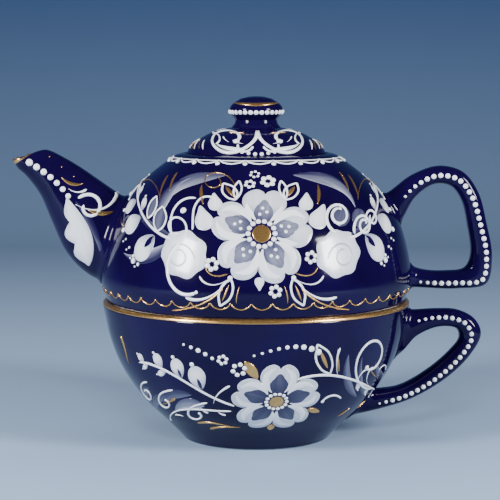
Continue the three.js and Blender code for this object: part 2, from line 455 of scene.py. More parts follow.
@dataclass(frozen=True)
class BarePorcelain:
    """Unglazed porcelain where a piece stood in the kiln."""

    name: str = "unglazed"
    roughness: float = 0.72

    def make(self) -> bpy.types.Material:
        """The finished material."""
        sheet = Sheet(self.name)
        where = sheet.place()
        grit = sheet.noise(where, 1600.0, 5.0)
        stain = sheet.noise(where, 120.0, 3.0)
        sheet.set(
            Base_Color=sheet.mixed(stain, opaque(0.70, 0.66, 0.58), opaque(0.80, 0.78, 0.73)),
            Roughness=self.roughness + 0.15 * grit,
            Normal=sheet.bumped(grit, 0.35, 0.0002),
            IOR=1.45,
        )
        return sheet.material


@dataclass(frozen=True)
class StudioPaper:
    """Matt paper, pale under the set and deeper blue up behind it."""

    name: str = "studio_paper"
    low: tuple[float, float, float, float] = opaque(0.30, 0.42, 0.60)
    high: tuple[float, float, float, float] = opaque(0.036, 0.080, 0.195)

    def make(self) -> bpy.types.Material:
        """The finished material."""
        sheet = Sheet(self.name)
        where = sheet.place()
        parts = sheet.node("ShaderNodeSeparateXYZ", {}, {0: where})
        back, up = Signal(sheet, parts.outputs["Y"]), Signal(sheet, parts.outputs["Z"])
        climb = (back * 0.50 + up * 1.5 + 0.06).clamped()
        mottle = sheet.noise(where, 30.0, 4.0) * 0.02
        sheet.set(Base_Color=sheet.mixed(climb + mottle, self.low, self.high), Roughness=0.85)
        return sheet.material


class Finish(Enum):
    """The finishes of the set."""

    COBALT = CobaltGlaze()
    BRUSHED = BrushedEnamel()
    THICK = ThickEnamel()
    GOLD = Gilding()
    CLEAR = ClearGlaze()
    BARE = BarePorcelain()
    PAPER = StudioPaper()

    def material(self) -> bpy.types.Material:
        """The material of this finish, made the first time it is asked for."""
        if self not in MADE:
            MADE[self] = self.value.make()
        return MADE[self]


MADE: dict[Finish, bpy.types.Material] = {}


# ---------------------------------------------------------------- meshes


def new_object(name: str, mesh: bpy.types.Mesh, *finishes: Finish) -> bpy.types.Object:
    """An object in the scene that wears these finishes.

    Args:
        name: what it is called.
        mesh: its mesh.
        finishes: what it wears, by material index.

    Returns:
        The object.
    """
    made = bpy.data.objects.new(name, mesh)
    bpy.context.scene.collection.objects.link(made)
    if not mesh.materials:
        for finish in finishes:
            mesh.materials.append(finish.material())
    return made


def faces_out(mesh: bpy.types.Mesh) -> None:
    """Turns every face of a closed mesh outwards.

    Args:
        mesh: the mesh that is turned.
    """
    shape = bmesh.new()
    shape.from_mesh(mesh)
    bmesh.ops.recalc_face_normals(shape, faces=shape.faces)
    shape.to_mesh(mesh)
    shape.free()


def smooth_mesh(name: str, points: np.ndarray, faces: list) -> bpy.types.Mesh:
    """A smooth-shaded mesh from millimetres.

    Args:
        name: what it is called.
        points: its corners, in millimetres.
        faces: its faces, as rows of corner numbers.

    Returns:
        The mesh, in metres.
    """
    mesh = bpy.data.meshes.new(name)
    mesh.from_pydata((np.asarray(points) * MM).tolist(), [], faces)
    mesh.shade_smooth()
    return mesh


def turned_mesh(
    name: str,
    profile: Sequence[tuple[float, float]],
    zones: Sequence[int] = (),
    sides: int = 240,
) -> bpy.types.Mesh:
    """A profile turned about the axis, closed at the axis or on itself.

    Args:
        name: the mesh's name.
        profile: radius and height of each point, with the material on its right-hand side.
        zones: the material index of each stretch between two points.
        sides: how many flats go round.

    Returns:
        The mesh, with its faces outwards.
    """
    ring_starts, points, count = [], [], 0
    closed = profile[0] == profile[-1]
    angles = np.linspace(0, 2 * math.pi, sides, endpoint=False)
    for radius, height in profile[:-1] if closed else profile:
        ring = sides if radius > 1e-6 else 1
        turn = angles[:ring]
        points.append(np.stack([radius * np.cos(turn), radius * np.sin(turn), np.full(ring, height)], axis=1))
        ring_starts.append((count, ring))
        count += ring
    if closed:
        ring_starts.append(ring_starts[0])
    faces, marks = [], []
    for step, ((low, low_size), (high, high_size)) in enumerate(zip(ring_starts, ring_starts[1:])):
        for side in range(sides):
            following = (side + 1) % sides
            corners = [
                low + side % low_size, low + following % low_size, high + following % high_size,
                high + side % high_size
            ]
            face = list(dict.fromkeys(corners))
            if len(face) > 2:
                faces.append(face)
                marks.append(zones[step] if zones else 0)
    mesh = smooth_mesh(name, np.vstack(points), faces)
    mesh.polygons.foreach_set("material_index", marks)
    return mesh


def zone_marks(profile: Sequence[tuple[float, float]], rule: Callable[[int, float, float], int]) -> list[int]:
    """The material index of each stretch of a profile, from the middle of the stretch."""
    middles = [((a[0] + b[0]) / 2, (a[1] + b[1]) / 2) for a, b in zip(profile, profile[1:])]
    return [rule(step, radius, height) for step, (radius, height) in enumerate(middles)]


def cut(target: bpy.types.Object, cutter: bpy.types.Object) -> bpy.types.Object:
    """Cuts one closed object out of another and removes the cutter.

    Args:
        target: the piece that is cut.
        cutter: the shape that is taken away.

    Returns:
        The target, with a plain mesh.
    """
    modifier = target.modifiers.new("cut", "BOOLEAN")
    modifier.operation = "DIFFERENCE"
    modifier.solver = "EXACT"
    modifier.object = cutter
    graph = bpy.context.evaluated_depsgraph_get()
    mesh = bpy.data.meshes.new_from_object(target.evaluated_get(graph))
    target.modifiers.clear()
    target.data = mesh
    bpy.data.objects.remove(cutter)
    return target


# ---------------------------------------------------------------- geometry nodes


class NodeRig:
    """A Geometry Nodes tree with named inputs, run once on an object and baked to a mesh."""

    def __init__(self, name: str) -> None:
        """Starts an empty tree.

        Args:
            name: what it is called.
        """
        self.tree = bpy.data.node_groups.new(name, "GeometryNodeTree")
        self.tree.interface.new_socket("Geometry", in_out="INPUT", socket_type="NodeSocketGeometry")
        self.tree.interface.new_socket("Geometry", in_out="OUTPUT", socket_type="NodeSocketGeometry")
        self.entry = self.tree.nodes.new("NodeGroupInput")
        self.identifiers: dict[str, str] = {}

    def input(self, name: str, kind: str) -> None:
        """Adds a named input of a socket kind."""
        socket = self.tree.interface.new_socket(name, in_out="INPUT", socket_type=kind)
        self.identifiers[name] = socket.identifier

    def node(self, kind: str, settings: dict, values: dict) -> bpy.types.Node:
        """Adds a node; a value may be a number, a tuple, a socket or the name of an input after a $.

        Args:
            kind: the node's type.
            settings: its own properties, set first.
            values: what each input gets, by name or index.

        Returns:
            The node.
        """
        made = self.tree.nodes.new(kind)
        for name, value in settings.items():
            setattr(made, name, value)
        for name, value in values.items():
            if isinstance(value, str) and value.startswith("$"):
                self.tree.links.new(self.entry.outputs[value[1:]], made.inputs[name])
            elif isinstance(value, bpy.types.NodeSocket):
                self.tree.links.new(value, made.inputs[name])
            else:
                made.inputs[name].default_value = value
        return made

    def finish(self, geometry: bpy.types.NodeSocket) -> None:
        """Realizes the instances, shades them smooth, gives them the material and ends the tree.

        Args:
            geometry: the socket that holds the result.
        """
        real = self.node("GeometryNodeRealizeInstances", {}, {"Geometry": geometry})
        smooth = self.node("GeometryNodeSetShadeSmooth", {}, {"Geometry": real.outputs[0]})
        dressed = self.node(
            "GeometryNodeSetMaterial", {}, {"Geometry": smooth.outputs[0], "Material": "$Material"}
        )
        self.node("NodeGroupOutput", {}, {"Geometry": dressed.outputs[0]})

    def bake(
        self,
        name: str,
        seed_mesh: bpy.types.Mesh,
        finish: Finish,
        **values: object,
    ) -> bpy.types.Object:
        """Runs the tree on a mesh.

        Args:
            name: the name of the piece that comes out.
            seed_mesh: the mesh that goes in.
            finish: what the piece wears.
            **values: the other inputs, with underscores for spaces.

        Returns:
            The piece, with a plain mesh.
        """
        carrier = bpy.data.objects.new(name + "_seed", seed_mesh)
        bpy.context.scene.collection.objects.link(carrier)
        modifier = carrier.modifiers.new("rig", "NODES")
        modifier.node_group = self.tree
        modifier[self.identifiers["Material"]] = finish.material()
        for key, value in values.items():
            modifier[self.identifiers[key.replace("_", " ")]] = value
        graph = bpy.context.evaluated_depsgraph_get()
        mesh = bpy.data.meshes.new_from_object(carrier.evaluated_get(graph))
        mesh.name = name
        bpy.data.objects.remove(carrier)
        return new_object(name, mesh, finish)


def bead_rig() -> NodeRig:
    """Beads set on points: each point says its size and which way it faces."""
    rig = NodeRig("beads")
    rig.input("Segments", "NodeSocketInt")
    rig.input("Rings", "NodeSocketInt")
    rig.input("Relief", "NodeSocketFloat")
    rig.input("Material", "NodeSocketMaterial")
    size = rig.node("GeometryNodeInputNamedAttribute", {"data_type": "FLOAT"}, {"Name": "size"}).outputs[0]
    facing = rig.node("GeometryNodeInputNamedAttribute", {"data_type": "FLOAT_VECTOR"}, {"Name": "facing"})
    turn = rig.node("FunctionNodeAlignRotationToVector", {"axis": "Z"}, {"Vector": facing.outputs[0]})
    height = rig.node("ShaderNodeMath", {"operation": "MULTIPLY"}, {0: size, 1: "$Relief"})
    scale = rig.node("ShaderNodeCombineXYZ", {}, {"X": size, "Y": size, "Z": height.outputs[0]})
    bead = rig.node(
        "GeometryNodeMeshUVSphere", {}, {"Segments": "$Segments", "Rings": "$Rings", "Radius": 1.0}
    )
    set_out = rig.node(
        "GeometryNodeInstanceOnPoints",
        {},
        {
            "Points": "$Geometry",
            "Instance": bead.outputs["Mesh"],
            "Rotation": turn.outputs[0],
            "Scale": scale.outputs[0],
        },
    )
    rig.finish(set_out.outputs[0])
    return rig


def garland_rig() -> NodeRig:
    """One swag repeated evenly round the axis."""
    rig = NodeRig("garland")
    rig.input("Count", "NodeSocketInt")
    rig.input("Material", "NodeSocketMaterial")
    spots = rig.node("GeometryNodePoints", {}, {"Count": "$Count"})
    index = rig.node("GeometryNodeInputIndex", {}, {})
    step = rig.node("ShaderNodeMath", {"operation": "DIVIDE"}, {0: 2 * math.pi, 1: "$Count"})
    angle = rig.node("ShaderNodeMath", {"operation": "MULTIPLY"}, {0: index.outputs[0], 1: step.outputs[0]})
    turn = rig.node("FunctionNodeAxisAngleToRotation", {}, {"Axis": (0, 0, 1), "Angle": angle.outputs[0]})
    copies = rig.node(
        "GeometryNodeInstanceOnPoints",
        {},
        {"Points": spots.outputs[0], "Instance": "$Geometry", "Rotation": turn.outputs[0]},
    )
    rig.finish(copies.outputs[0])
    return rig


def strainer_rig() -> NodeRig:
    """Round bars through a wall: one in the middle and six round it, to be cut away."""
    rig = NodeRig("strainer")
    rig.input("Holes Round", "NodeSocketInt")
    rig.input("Pitch", "NodeSocketFloat")
    rig.input("Hole Radius", "NodeSocketFloat")
    rig.input("Depth", "NodeSocketFloat")
    rig.input("Material", "NodeSocketMaterial")
    ring = rig.node("GeometryNodeMeshCircle", {}, {"Vertices": "$Holes Round", "Radius": "$Pitch"})
    spots = rig.node("GeometryNodeJoinGeometry", {}, {})
    rig.tree.links.new(ring.outputs[0], spots.inputs[0])
    rig.tree.links.new(rig.entry.outputs["Geometry"], spots.inputs[0])
    bar = rig.node(
        "GeometryNodeMeshCylinder", {}, {"Vertices": 28, "Radius": "$Hole Radius", "Depth": "$Depth"}
    )
    bars = rig.node(
        "GeometryNodeInstanceOnPoints", {}, {"Points": spots.outputs[0], "Instance": bar.outputs[0]}
    )
    rig.finish(bars.outputs[0])
    return rig


# ---------------------------------------------------------------- surfaces to paint on


class RoundCanvas:
    """A design's place on a turned surface."""

    def __init__(self, outline: Outline, turn: float, up: float) -> None:
        """Sets the design's middle.

        Args:
            outline: the turned outside.
            turn: degrees from the front towards the handles.
            up: millimetres up the outline.
        """
        self.outline = outline
        self.turn = math.radians(turn)
        self.up = up

    def place(self, flat: np.ndarray) -> np.ndarray:
        """Points in space for rows of sideways, upwards and lift.

        Args:
            flat: rows of sideways, upwards and lift, in millimetres.

        Returns:
            The points.
        """
        up = self.up + flat[:, 1]
        radius, height = self.outline.at(up)
        normal = self.outline.normal(up)
        angle = self.turn + flat[:, 0] / np.maximum(radius, 1.0)
        reach = radius + normal[0] * flat[:, 2]
        return np.stack(
            [reach * np.sin(angle), -reach * np.cos(angle), height + normal[1] * flat[:, 2]], axis=1
        )


class Loft:
    """A bar that runs through stations of outer edge, inner edge and half breadth."""

    def __init__(self, stations: Sequence[Sequence[float]], squareness: float) -> None:
        """Keeps smooth edges through the stations.

        Args:
            stations: outer x and z, inner x and z, and half breadth of each section.
            squareness: 2 for an ellipse, more for a squarer section.
        """
        table = np.asarray(stations, float)
        self.steps = 600
        self.outer = smooth_path(table[:, 0:2], self.steps)
        self.inner = smooth_path(table[:, 2:4], self.steps)
        self.breadth = Outline([(i, value) for i, value in enumerate(table[:, 4])], self.steps).points[:, 1]
        self.power = 2.0 / squareness

    def _pick(self, values: np.ndarray, along: np.ndarray) -> np.ndarray:
        """Values at shares of the length.

        Args:
            values: one value for each station.
            along: shares of the length.

        Returns:
            The values there.
        """
        grid = np.linspace(0, 1, self.steps)
        if values.ndim == 1:
            return np.interp(along, grid, values)
        return np.stack([np.interp(along, grid, column) for column in values.T], axis=1)

    def surface(self, along: np.ndarray, turn: np.ndarray, thinner: np.ndarray | float = 0.0) -> np.ndarray:
        """Points on the bar.

        Args:
            along: share of the length, from 0 to 1.
            turn: angle round the section, 0 at the outer edge and a quarter turn at +Y.
            thinner: how far inside the surface, in millimetres.

        Returns:
            Rows of x, y and z.
        """
        outer, inner = self._pick(self.outer, along), self._pick(self.inner, along)
        middle, depth = (outer + inner) / 2, (outer - inner) / 2
        thickness = np.linalg.norm(depth, axis=1)
        across = np.sign(np.cos(turn)) * np.abs(np.cos(turn)) ** self.power
        sideways = np.sign(np.sin(turn)) * np.abs(np.sin(turn)) ** self.power
        flat = middle + depth * (across * (thickness - thinner) / thickness)[:, None]
        return np.stack(
            [flat[:, 0], sideways * (self._pick(self.breadth, along) - thinner), flat[:, 1]], axis=1
        )

    def lifted(
        self,
        along: np.ndarray,
        turn: np.ndarray,
        lift: np.ndarray | float,
    ) -> tuple[np.ndarray, np.ndarray]:
        """Points above the surface and the outward normals there.

        Args:
            along: shares of the length.
            turn: turns round the section.
            lift: height above the surface, in millimetres.

        Returns:
            The points and the normals.
        """
        small = 1e-3
        base = self.surface(along, turn)
        forward = self.surface(
            np.minimum(along + small, 1), turn
        ) - self.surface(np.maximum(along - small, 0), turn)
        round_it = self.surface(along, turn + small) - self.surface(along, turn - small)
        normal = np.cross(round_it, forward)
        middle = self._pick((self.outer + self.inner) / 2, along)
        away = base - np.stack([middle[:, 0], np.zeros(len(base)), middle[:, 1]], axis=1)
        normal *= np.where((normal * away).sum(axis=1) < 0, -1.0, 1.0)[:, None]
        normal /= np.maximum(np.linalg.norm(normal, axis=1), 1e-9)[:, None]
        return base + normal * np.reshape(lift, (-1, 1)), normal

    def find(self, flat: np.ndarray, side: float) -> tuple[np.ndarray, np.ndarray]:
        """The share of the length and the turn whose x and z are these, on the side of that sign.

        Args:
            flat: rows of x and z.
            side: which side, 1 or -1.

        Returns:
            The shares of the length and the turns.
        """
        along = np.linspace(0.01, 0.99, 197)
        across = np.linspace(-0.97, 0.97, 61)
        outer, inner = self._pick(self.outer, along), self._pick(self.inner, along)
        middle, depth = (outer + inner) / 2, (outer - inner) / 2
        grid = middle[:, None, :] + depth[:, None, :] * across[None, :, None]
        gaps = ((grid[None] - flat[:, None, None, :]) ** 2).sum(axis=3).reshape(len(flat), -1)
        best = np.argmin(gaps, axis=1)
        t, c = along[best // len(across)], across[best % len(across)]
        for _ in range(8):
            error = self._spot(t, c) - flat
            d_t = (self._spot(t + 1e-3, c) - self._spot(t - 1e-3, c)) / 2e-3
            d_c = (self._spot(t, c + 1e-3) - self._spot(t, c - 1e-3)) / 2e-3
            area = d_t[:, 0] * d_c[:, 1] - d_t[:, 1] * d_c[:, 0]
            area = np.where(np.abs(area) < 1e-6, 1e-6, area)
            t = np.clip(t - (error[:, 0] * d_c[:, 1] - error[:, 1] * d_c[:, 0]) / area, 0.002, 0.998)
            c = np.clip(c - (d_t[:, 0] * error[:, 1] - d_t[:, 1] * error[:, 0]) / area, -0.98, 0.98)
        cosine = np.sign(c) * np.abs(c) ** (1 / self.power)
        return t, side * np.arccos(cosine)

    def _spot(self, along: np.ndarray, across: np.ndarray) -> np.ndarray:
        """x and z in the middle plane for shares along and across.

        Args:
            along: shares of the length.
            across: shares across the section.

        Returns:
            The x and z values.
        """
        along = np.clip(along, 0, 1)
        outer, inner = self._pick(self.outer, along), self._pick(self.inner, along)
        return (outer + inner) / 2 + (outer - inner) / 2 * across[:, None]


class SideCanvas:
    """A design's place on the side of a lofted bar, measured in plain x and z."""

    def __init__(self, loft: Loft, side: float) -> None:
        """Picks the bar and its side, -1 for the front and 1 for the back."""
        self.loft = loft
        self.side = side

    def place(self, flat: np.ndarray) -> np.ndarray:
        """Points in space for rows of x, z and lift."""
        along, turn = self.loft.find(flat[:, :2], self.side)
        return self.loft.lifted(along, turn, flat[:, 2])[0]


# ---------------------------------------------------------------- brushes


class Swell(Enum):
    """How a stroke's width changes along it."""

    LINE = auto()
    COMMA = auto()
    DROP = auto()
    LEAF = auto()
    WISP = auto()

    def widths(self, along: np.ndarray) -> np.ndarray:
        """Share of the full width at shares of the length.

        Args:
            along: shares of the length.

        Returns:
            The shares of the full width.
        """
        ends = np.sqrt(np.clip(np.minimum(along / 0.05, (1 - along) / 0.05), 0, 1))
        if self is Swell.LINE:
            return ends
        if self is Swell.LEAF:
            return np.sin(math.pi * np.clip(along, 0, 1)) ** 0.75
        if self is Swell.WISP:
            return np.sin(math.pi * np.clip(along, 0, 1) ** 0.8) ** 1.3 * 0.9 + 0.1 * ends
        grown = along if self is Swell.COMMA else 1 - along
        tip = np.sqrt(np.clip((1 - grown) / 0.16, 0, 1) * (2 - np.clip((1 - grown) / 0.16, 0, 1)))
        return (0.12 + 0.88 * grown**1.3) * tip


class Layer(Enum):
    """How proud of the glaze each layer of paint stands, in millimetres."""

    WASH = 0.06
    PETAL = 0.14
    SHADE = 0.18
    LINE = 0.26
    ACCENT = 0.34


SUNK = 0.06  # how far the edge of every stroke dips below the glaze


class Gathered:
    """Strokes gathered before they become one mesh."""

    def __init__(self) -> None:
        """Starts empty."""
        self.points: list[np.ndarray] = []
        self.faces: list[list[int]] = []
        self.grain: list[np.ndarray] = []
        self.cover: list[np.ndarray] = []
        self.total = 0
        self.strokes = 0

    def add(
        self,
        points: np.ndarray,
        faces: Iterable[Iterable[int]],
        grain: np.ndarray,
        cover: np.ndarray,
    ) -> None:
        """Takes one closed stroke.

        Args:
            points: its corners in millimetres.
            faces: its faces, numbered from 0.
            grain: along and across the brush's pull at each corner.
            cover: how white it is at each corner.
        """
        start = self.total
        self.points.append(points)
        self.faces.extend([start + corner for corner in face] for face in faces)
        seed = np.full((len(points), 1), self.strokes * 3.7)
        self.grain.append(np.hstack([grain, seed]))
        self.cover.append(cover)
        self.total += len(points)
        self.strokes += 1

    def piece(self, name: str, finish: Finish) -> bpy.types.Object:
        """All strokes as one object.

        Args:
            name: what it is called.
            finish: what it wears.

        Returns:
            The object.
        """
        mesh = smooth_mesh(name, np.vstack(self.points), self.faces)
        grain = mesh.attributes.new("grain", "FLOAT_VECTOR", "POINT")
        grain.data.foreach_set("vector", np.vstack(self.grain).astype(np.float32).ravel())
        cover = mesh.attributes.new("cover", "FLOAT", "POINT")
        cover.data.foreach_set("value", np.concatenate(self.cover).astype(np.float32))
        return new_object(name, mesh, finish)


class Dots:
    """Places, sizes and facings of dots before they become beads, and how proud they stand."""

    relief: float = 0.55

    def __init__(self) -> None:
        """Starts empty."""
        self.places: list[np.ndarray] = []
        self.facings: list[np.ndarray] = []
        self.sizes: list[float] = []

    def add(self, place: np.ndarray, facing: np.ndarray, size: float) -> None:
        """Takes one dot.

        Args:
            place: where it sits.
            facing: the outward direction there.
            size: its radius.
        """
        self.places.append(place)
        self.facings.append(facing)
        self.sizes.append(size)

    def piece(self, name: str, rig: NodeRig) -> bpy.types.Object:
        """All dots as one object, through the bead rig.

        Args:
            name: what it is called.
            rig: the bead rig.

        Returns:
            The object.
        """
        mesh = bpy.data.meshes.new(name + "_points")
        mesh.from_pydata((np.array(self.places) * MM).tolist(), [], [])
        size = mesh.attributes.new("size", "FLOAT", "POINT")
        size.data.foreach_set("value", (np.array(self.sizes) * MM).astype(np.float32))
        facing = mesh.attributes.new("facing", "FLOAT_VECTOR", "POINT")
        facing.data.foreach_set("vector", np.array(self.facings, np.float32).ravel())
        return rig.bake(name, mesh, Finish.THICK, Segments=12, Rings=6, Relief=self.relief)


def winding(start: Sequence[float], heading: float, length: float, bends: tuple[float, float]) -> np.ndarray:
    """A path whose bend changes evenly along it, as a turning brush makes it.

    Args:
        start: where it sets off.
        heading: its first direction, in degrees from sideways.
        length: how long it is, in millimetres.
        bends: how fast it turns where it starts and where it ends, in degrees for each millimetre.

    Returns:
        Its points.
    """
    count = 24
    share = (np.arange(count) + 0.5) / count
    turned = length * (bends[0] * share + (bends[1] - bends[0]) * share**2 / 2)
    angle = np.radians(heading + turned)
    steps = np.stack([np.cos(angle), np.sin(angle)], axis=1) * length / count
    return np.vstack([[start], np.asarray(start, float) + np.cumsum(steps, axis=0)])


class Painter:
    """Lays enamel, gold and dots on one canvas."""

    petal_dots: tuple[tuple[float, float], ...] = ((0.40, 0.16), (0.46, -0.14), (0.54, 0.06))

    def __init__(
        self,
        canvas: RoundCanvas | SideCanvas,
        enamel: Gathered,
        gold: Gathered,
        dots: Dots,
    ) -> None:
        """Keeps the canvas and where the work is gathered.

        Args:
            canvas: the surface it paints on.
            enamel: gathers the enamel.
            gold: gathers the gold.
            dots: gathers the dots.
        """
        self.canvas = canvas
        self.enamel = enamel
        self.gold = gold
        self.dots = dots
        self.hand = 1

    def _lay(
        self,
        gold: bool,
        flat: np.ndarray,
        faces: Iterable[Iterable[int]],
        grain: np.ndarray,
        cover: np.ndarray,
    ) -> None:
        """Puts a flat stroke on the canvas.

        Args:
            gold: whether it is gold.
            flat: rows of sideways, upwards and lift, in millimetres.
            faces: its faces, as rows of corner numbers.
            grain: place along and across the stroke at each point.
            cover: how white each point is.
        """
        into = self.gold if gold else self.enamel
        lifted = flat.copy()
        lifted[:, 2] += 0.0015 * (into.strokes % 17)
        lifted[:, 0] *= self.hand
        faces = [tuple(face)[:: self.hand] for face in faces]
        into.add(self.canvas.place(lifted), faces, grain, cover)

    def stroke(
        self,
        path: Path,
        width: float,
        swell: Swell = Swell.LINE,
        cover: float = 1.0,
        layer: Layer = Layer.LINE,
        gold: bool = False,
        fade: tuple[float, float] = (1.0, 1.0),
        wane: tuple[float, float] = (1.0, 1.0),
    ) -> None:
        """One pull of the brush.

        Args:
            path: where it runs.
            width: how wide it is at its widest.
            swell: how the width changes along it.
            cover: how white it is.
            layer: how proud it stands.
            gold: whether it is gold.
            fade: share of the cover that is left at the right-hand and left-hand edges.
            wane: share of the cover that is left where it starts and where it ends.
        """
        rough = smooth_path(path, 40)
        length = float(np.hypot(*np.diff(rough, axis=0).T).sum())
        rows = int(np.clip(length / 0.55, 9, 70))
        even = 0.5 - 0.5 * np.cos(np.linspace(0, math.pi, rows))
        fine = smooth_path(path, 400)
        travelled = np.concatenate([[0], np.cumsum(np.hypot(*np.diff(fine, axis=0).T))])
        blend = 0.55 * even + 0.45 * np.linspace(0, 1, rows)
        spots = np.stack([np.interp(blend * travelled[-1], travelled, axis) for axis in fine.T], axis=1)
        slope = np.gradient(spots, axis=0)
        slope /= np.maximum(np.linalg.norm(slope, axis=1), 1e-9)[:, None]
        left = np.stack([-slope[:, 1], slope[:, 0]], axis=1)
        half = np.maximum(width / 2 * swell.widths(blend), 0.02)
        columns = np.linspace(-1, 1, 5 if width < 2.5 else 9)
        size = len(columns)
        flat = spots[:, None, :] + left[:, None, :] * (half[:, None] * columns[None, :])[:, :, None]
        dome = np.sqrt(np.clip(1 - columns**4, 0, 1))
        crown = (layer.value + SUNK) * np.clip(half / 0.25, 0.25, 1.0)
        lift = crown[:, None] * dome[None, :] - SUNK
        points = np.concatenate([flat, lift[:, :, None]], axis=2).reshape(-1, 3)
        faces: list[tuple[int, ...]] = []
        for row in range(rows - 1):
            here, there = row * size, (row + 1) * size
            for column in range(size - 1):
                faces.append((here + column, there + column, there + column + 1, here + column + 1))
            faces.append((here + size - 1, there + size - 1, there, here))
        faces.append(tuple(range(size)))
        faces.append(tuple((rows - 1) * size + column for column in reversed(range(size))))
        along = np.repeat(blend * travelled[-1], size)
        across = (half[:, None] * columns[None, :]).ravel()
        edge = np.interp(columns, [-1, 1], fade)
        tone = (cover * edge[None, :] * np.interp(blend, [0, 1], wane)[:, None]).ravel()
        self._lay(gold, points, faces, np.stack([along, across], axis=1), tone)

    def patch(
        self,
        outline: Path,
        cover: float,
        rim: float | None = None,
        layer: Layer = Layer.PETAL,
        pull: float = 90.0,
        gold: bool = False,
        base: float | None = None,
    ) -> None:
        """A filled shape.

        Args:
            outline: points round its edge.
            cover: how white its middle is.
            rim: how white its edge is, as the middle if left out.
            layer: how proud it stands.
            pull: the direction of the brush, in degrees from sideways.
            gold: whether it is gold.
            base: how white its trailing end is, where the brush ran thin.
        """
        edge = smooth_path(outline, max(44, 4 * len(outline)), closed=True)
        area = float(np.sum(edge[:, 0] * np.roll(edge[:, 1], -1) - np.roll(edge[:, 0], -1) * edge[:, 1]))
        if area < 0:
            edge = edge[::-1]
        middle = edge.mean(axis=0)
        shares = (0.30, 0.55, 0.74, 0.87, 0.95, 1.0)
        rings = [middle + (edge - middle) * share for share in shares]
        heights = [(layer.value + SUNK) * math.sqrt(1 - share**6) - SUNK for share in shares]
        flat = np.vstack([middle[None], *rings])
        lift = np.concatenate([[layer.value], np.repeat(heights, len(edge))])
        count = len(edge)
        faces: list[tuple[int, ...]] = [(0, 1 + i, 1 + (i + 1) % count) for i in range(count)]
        for ring in range(len(shares) - 1):
            low, high = 1 + ring * count, 1 + (ring + 1) * count
            faces += [
                (low + i, high + i, high + (i + 1) % count, low + (i + 1) % count)
                for i in range(count)
            ]
        last = 1 + (len(shares) - 1) * count
        faces.append(tuple(last + i for i in reversed(range(count))))
        direction = np.array([math.cos(math.radians(pull)), math.sin(math.radians(pull))])
        beside = np.array([-direction[1], direction[0]])
        along, across = flat @ direction, flat @ beside
        rim_cover = cover if rim is None else rim
        tone = np.concatenate([[cover], np.repeat(np.interp(shares, [0.5, 1.0], [cover, rim_cover]), count)])
        if base is not None:
            lead = (along - along.min()) / max(float(np.ptp(along)), 1e-6)
            tone = tone * np.interp(lead, [0, 0.55], [base / max(cover, 1e-6), 1.0])
        points = np.concatenate([flat, lift[:, None]], axis=1)
        self._lay(gold, points, faces, np.stack([along, across], axis=1), tone)

    def dot(self, x: float, y: float, radius: float) -> None:
        """One dot of thick enamel.

        Args:
            x: where its middle is, sideways.
            y: where its middle is, upwards.
            radius: its radius.
        """
        spot = np.array([[x * self.hand, y, 0.12 * radius], [x * self.hand, y, 1.0 + 0.12 * radius]])
        base, above = self.canvas.place(spot)
        self.dots.add(base, above - base, radius)

    def row(self, path: Path, radii: tuple[float, float, float], gap: float) -> None:
        """Dots along a path that grow and shrink evenly.

        Args:
            path: where they sit.
            radii: radius at the start, the middle and the end.
            gap: distance from one dot to the next.
        """
        fine = smooth_path(path, 300)
        travelled = np.concatenate([[0], np.cumsum(np.hypot(*np.diff(fine, axis=0).T))])
        count = max(2, round(travelled[-1] / gap) + 1)
        for share in np.linspace(0, 1, count):
            x, y = (float(np.interp(share * travelled[-1], travelled, axis)) for axis in fine.T)
            self.dot(x, y, float(np.interp(share, [0, 0.5, 1], radii)))

    def rosette(self, x: float, y: float, ring: float, radius: float, count: int = 6) -> None:
        """A ring of dots."""
        for step in range(count):
            angle = 2 * math.pi * (step + 0.3) / count
            self.dot(x + ring * math.cos(angle), y + ring * math.sin(angle), radius)

    def leaf(
        self,
        base: tuple[float, float],
        tip: tuple[float, float],
        width: float,
        line: float,
        heart: float = 0.0,
    ) -> None:
        """A leaf drawn in outline, with a gold heart where one is asked for.

        Args:
            base: where it grows from.
            tip: its pointed end.
            width: how broad it is.
            line: width of the outline.
            heart: width of the gold heart, 0 for none.
        """
        start, end = np.array(base, float), np.array(tip, float)
        run = end - start
        beside = np.array([-run[1], run[0]]) / np.linalg.norm(run) * width / 2
        for side in (1, -1):
            low = start + run * 0.24 + beside * side * 0.78
            high = start + run * 0.62 + beside * side * 0.94
            self.stroke([start, low, high, end], line)
        if heart:
            self.stroke([start + run * 0.2, start + run * 0.8], heart, Swell.LEAF, gold=True)

    def plump_leaf(
        self,
        base: tuple[float, float],
        tip: tuple[float, float],
        width: float,
        slit: bool = False,
        cover: float = 0.97,
    ) -> None:
        """A leaf of one broad pull, dark along its slit where it has one, with a dot past its tip.

        Args:
            base: where it grows from.
            tip: its pointed end.
            width: how broad it is.
            slit: whether it has a dark slit.
            cover: how white it is.
        """
        start, end = np.array(base, float), np.array(tip, float)
        run = end - start
        beside = np.array([-run[1], run[0]]) / np.linalg.norm(run) * width / 2
        pull = math.degrees(math.atan2(run[1], run[0]))
        outline = [
            start,
            start + run * 0.26 + beside * 0.72,
            start + run * 0.60 + beside,
            start + run * 0.88 + beside * 0.66,
            end,
            start + run * 0.88 - beside * 0.66,
            start + run * 0.60 - beside,
            start + run * 0.26 - beside * 0.72,
        ]
        self.patch(outline, cover, cover * 0.9, Layer.PETAL, pull, base=cover * 0.75)
        if slit:
            self.stroke([start + run * 0.03, start + run * 0.50], width * 0.30, Swell.LEAF, 0.0, Layer.LINE)
        past = end + run / np.linalg.norm(run) * width * 0.10
        self.dot(float(past[0]), float(past[1]), 0.13 * width)

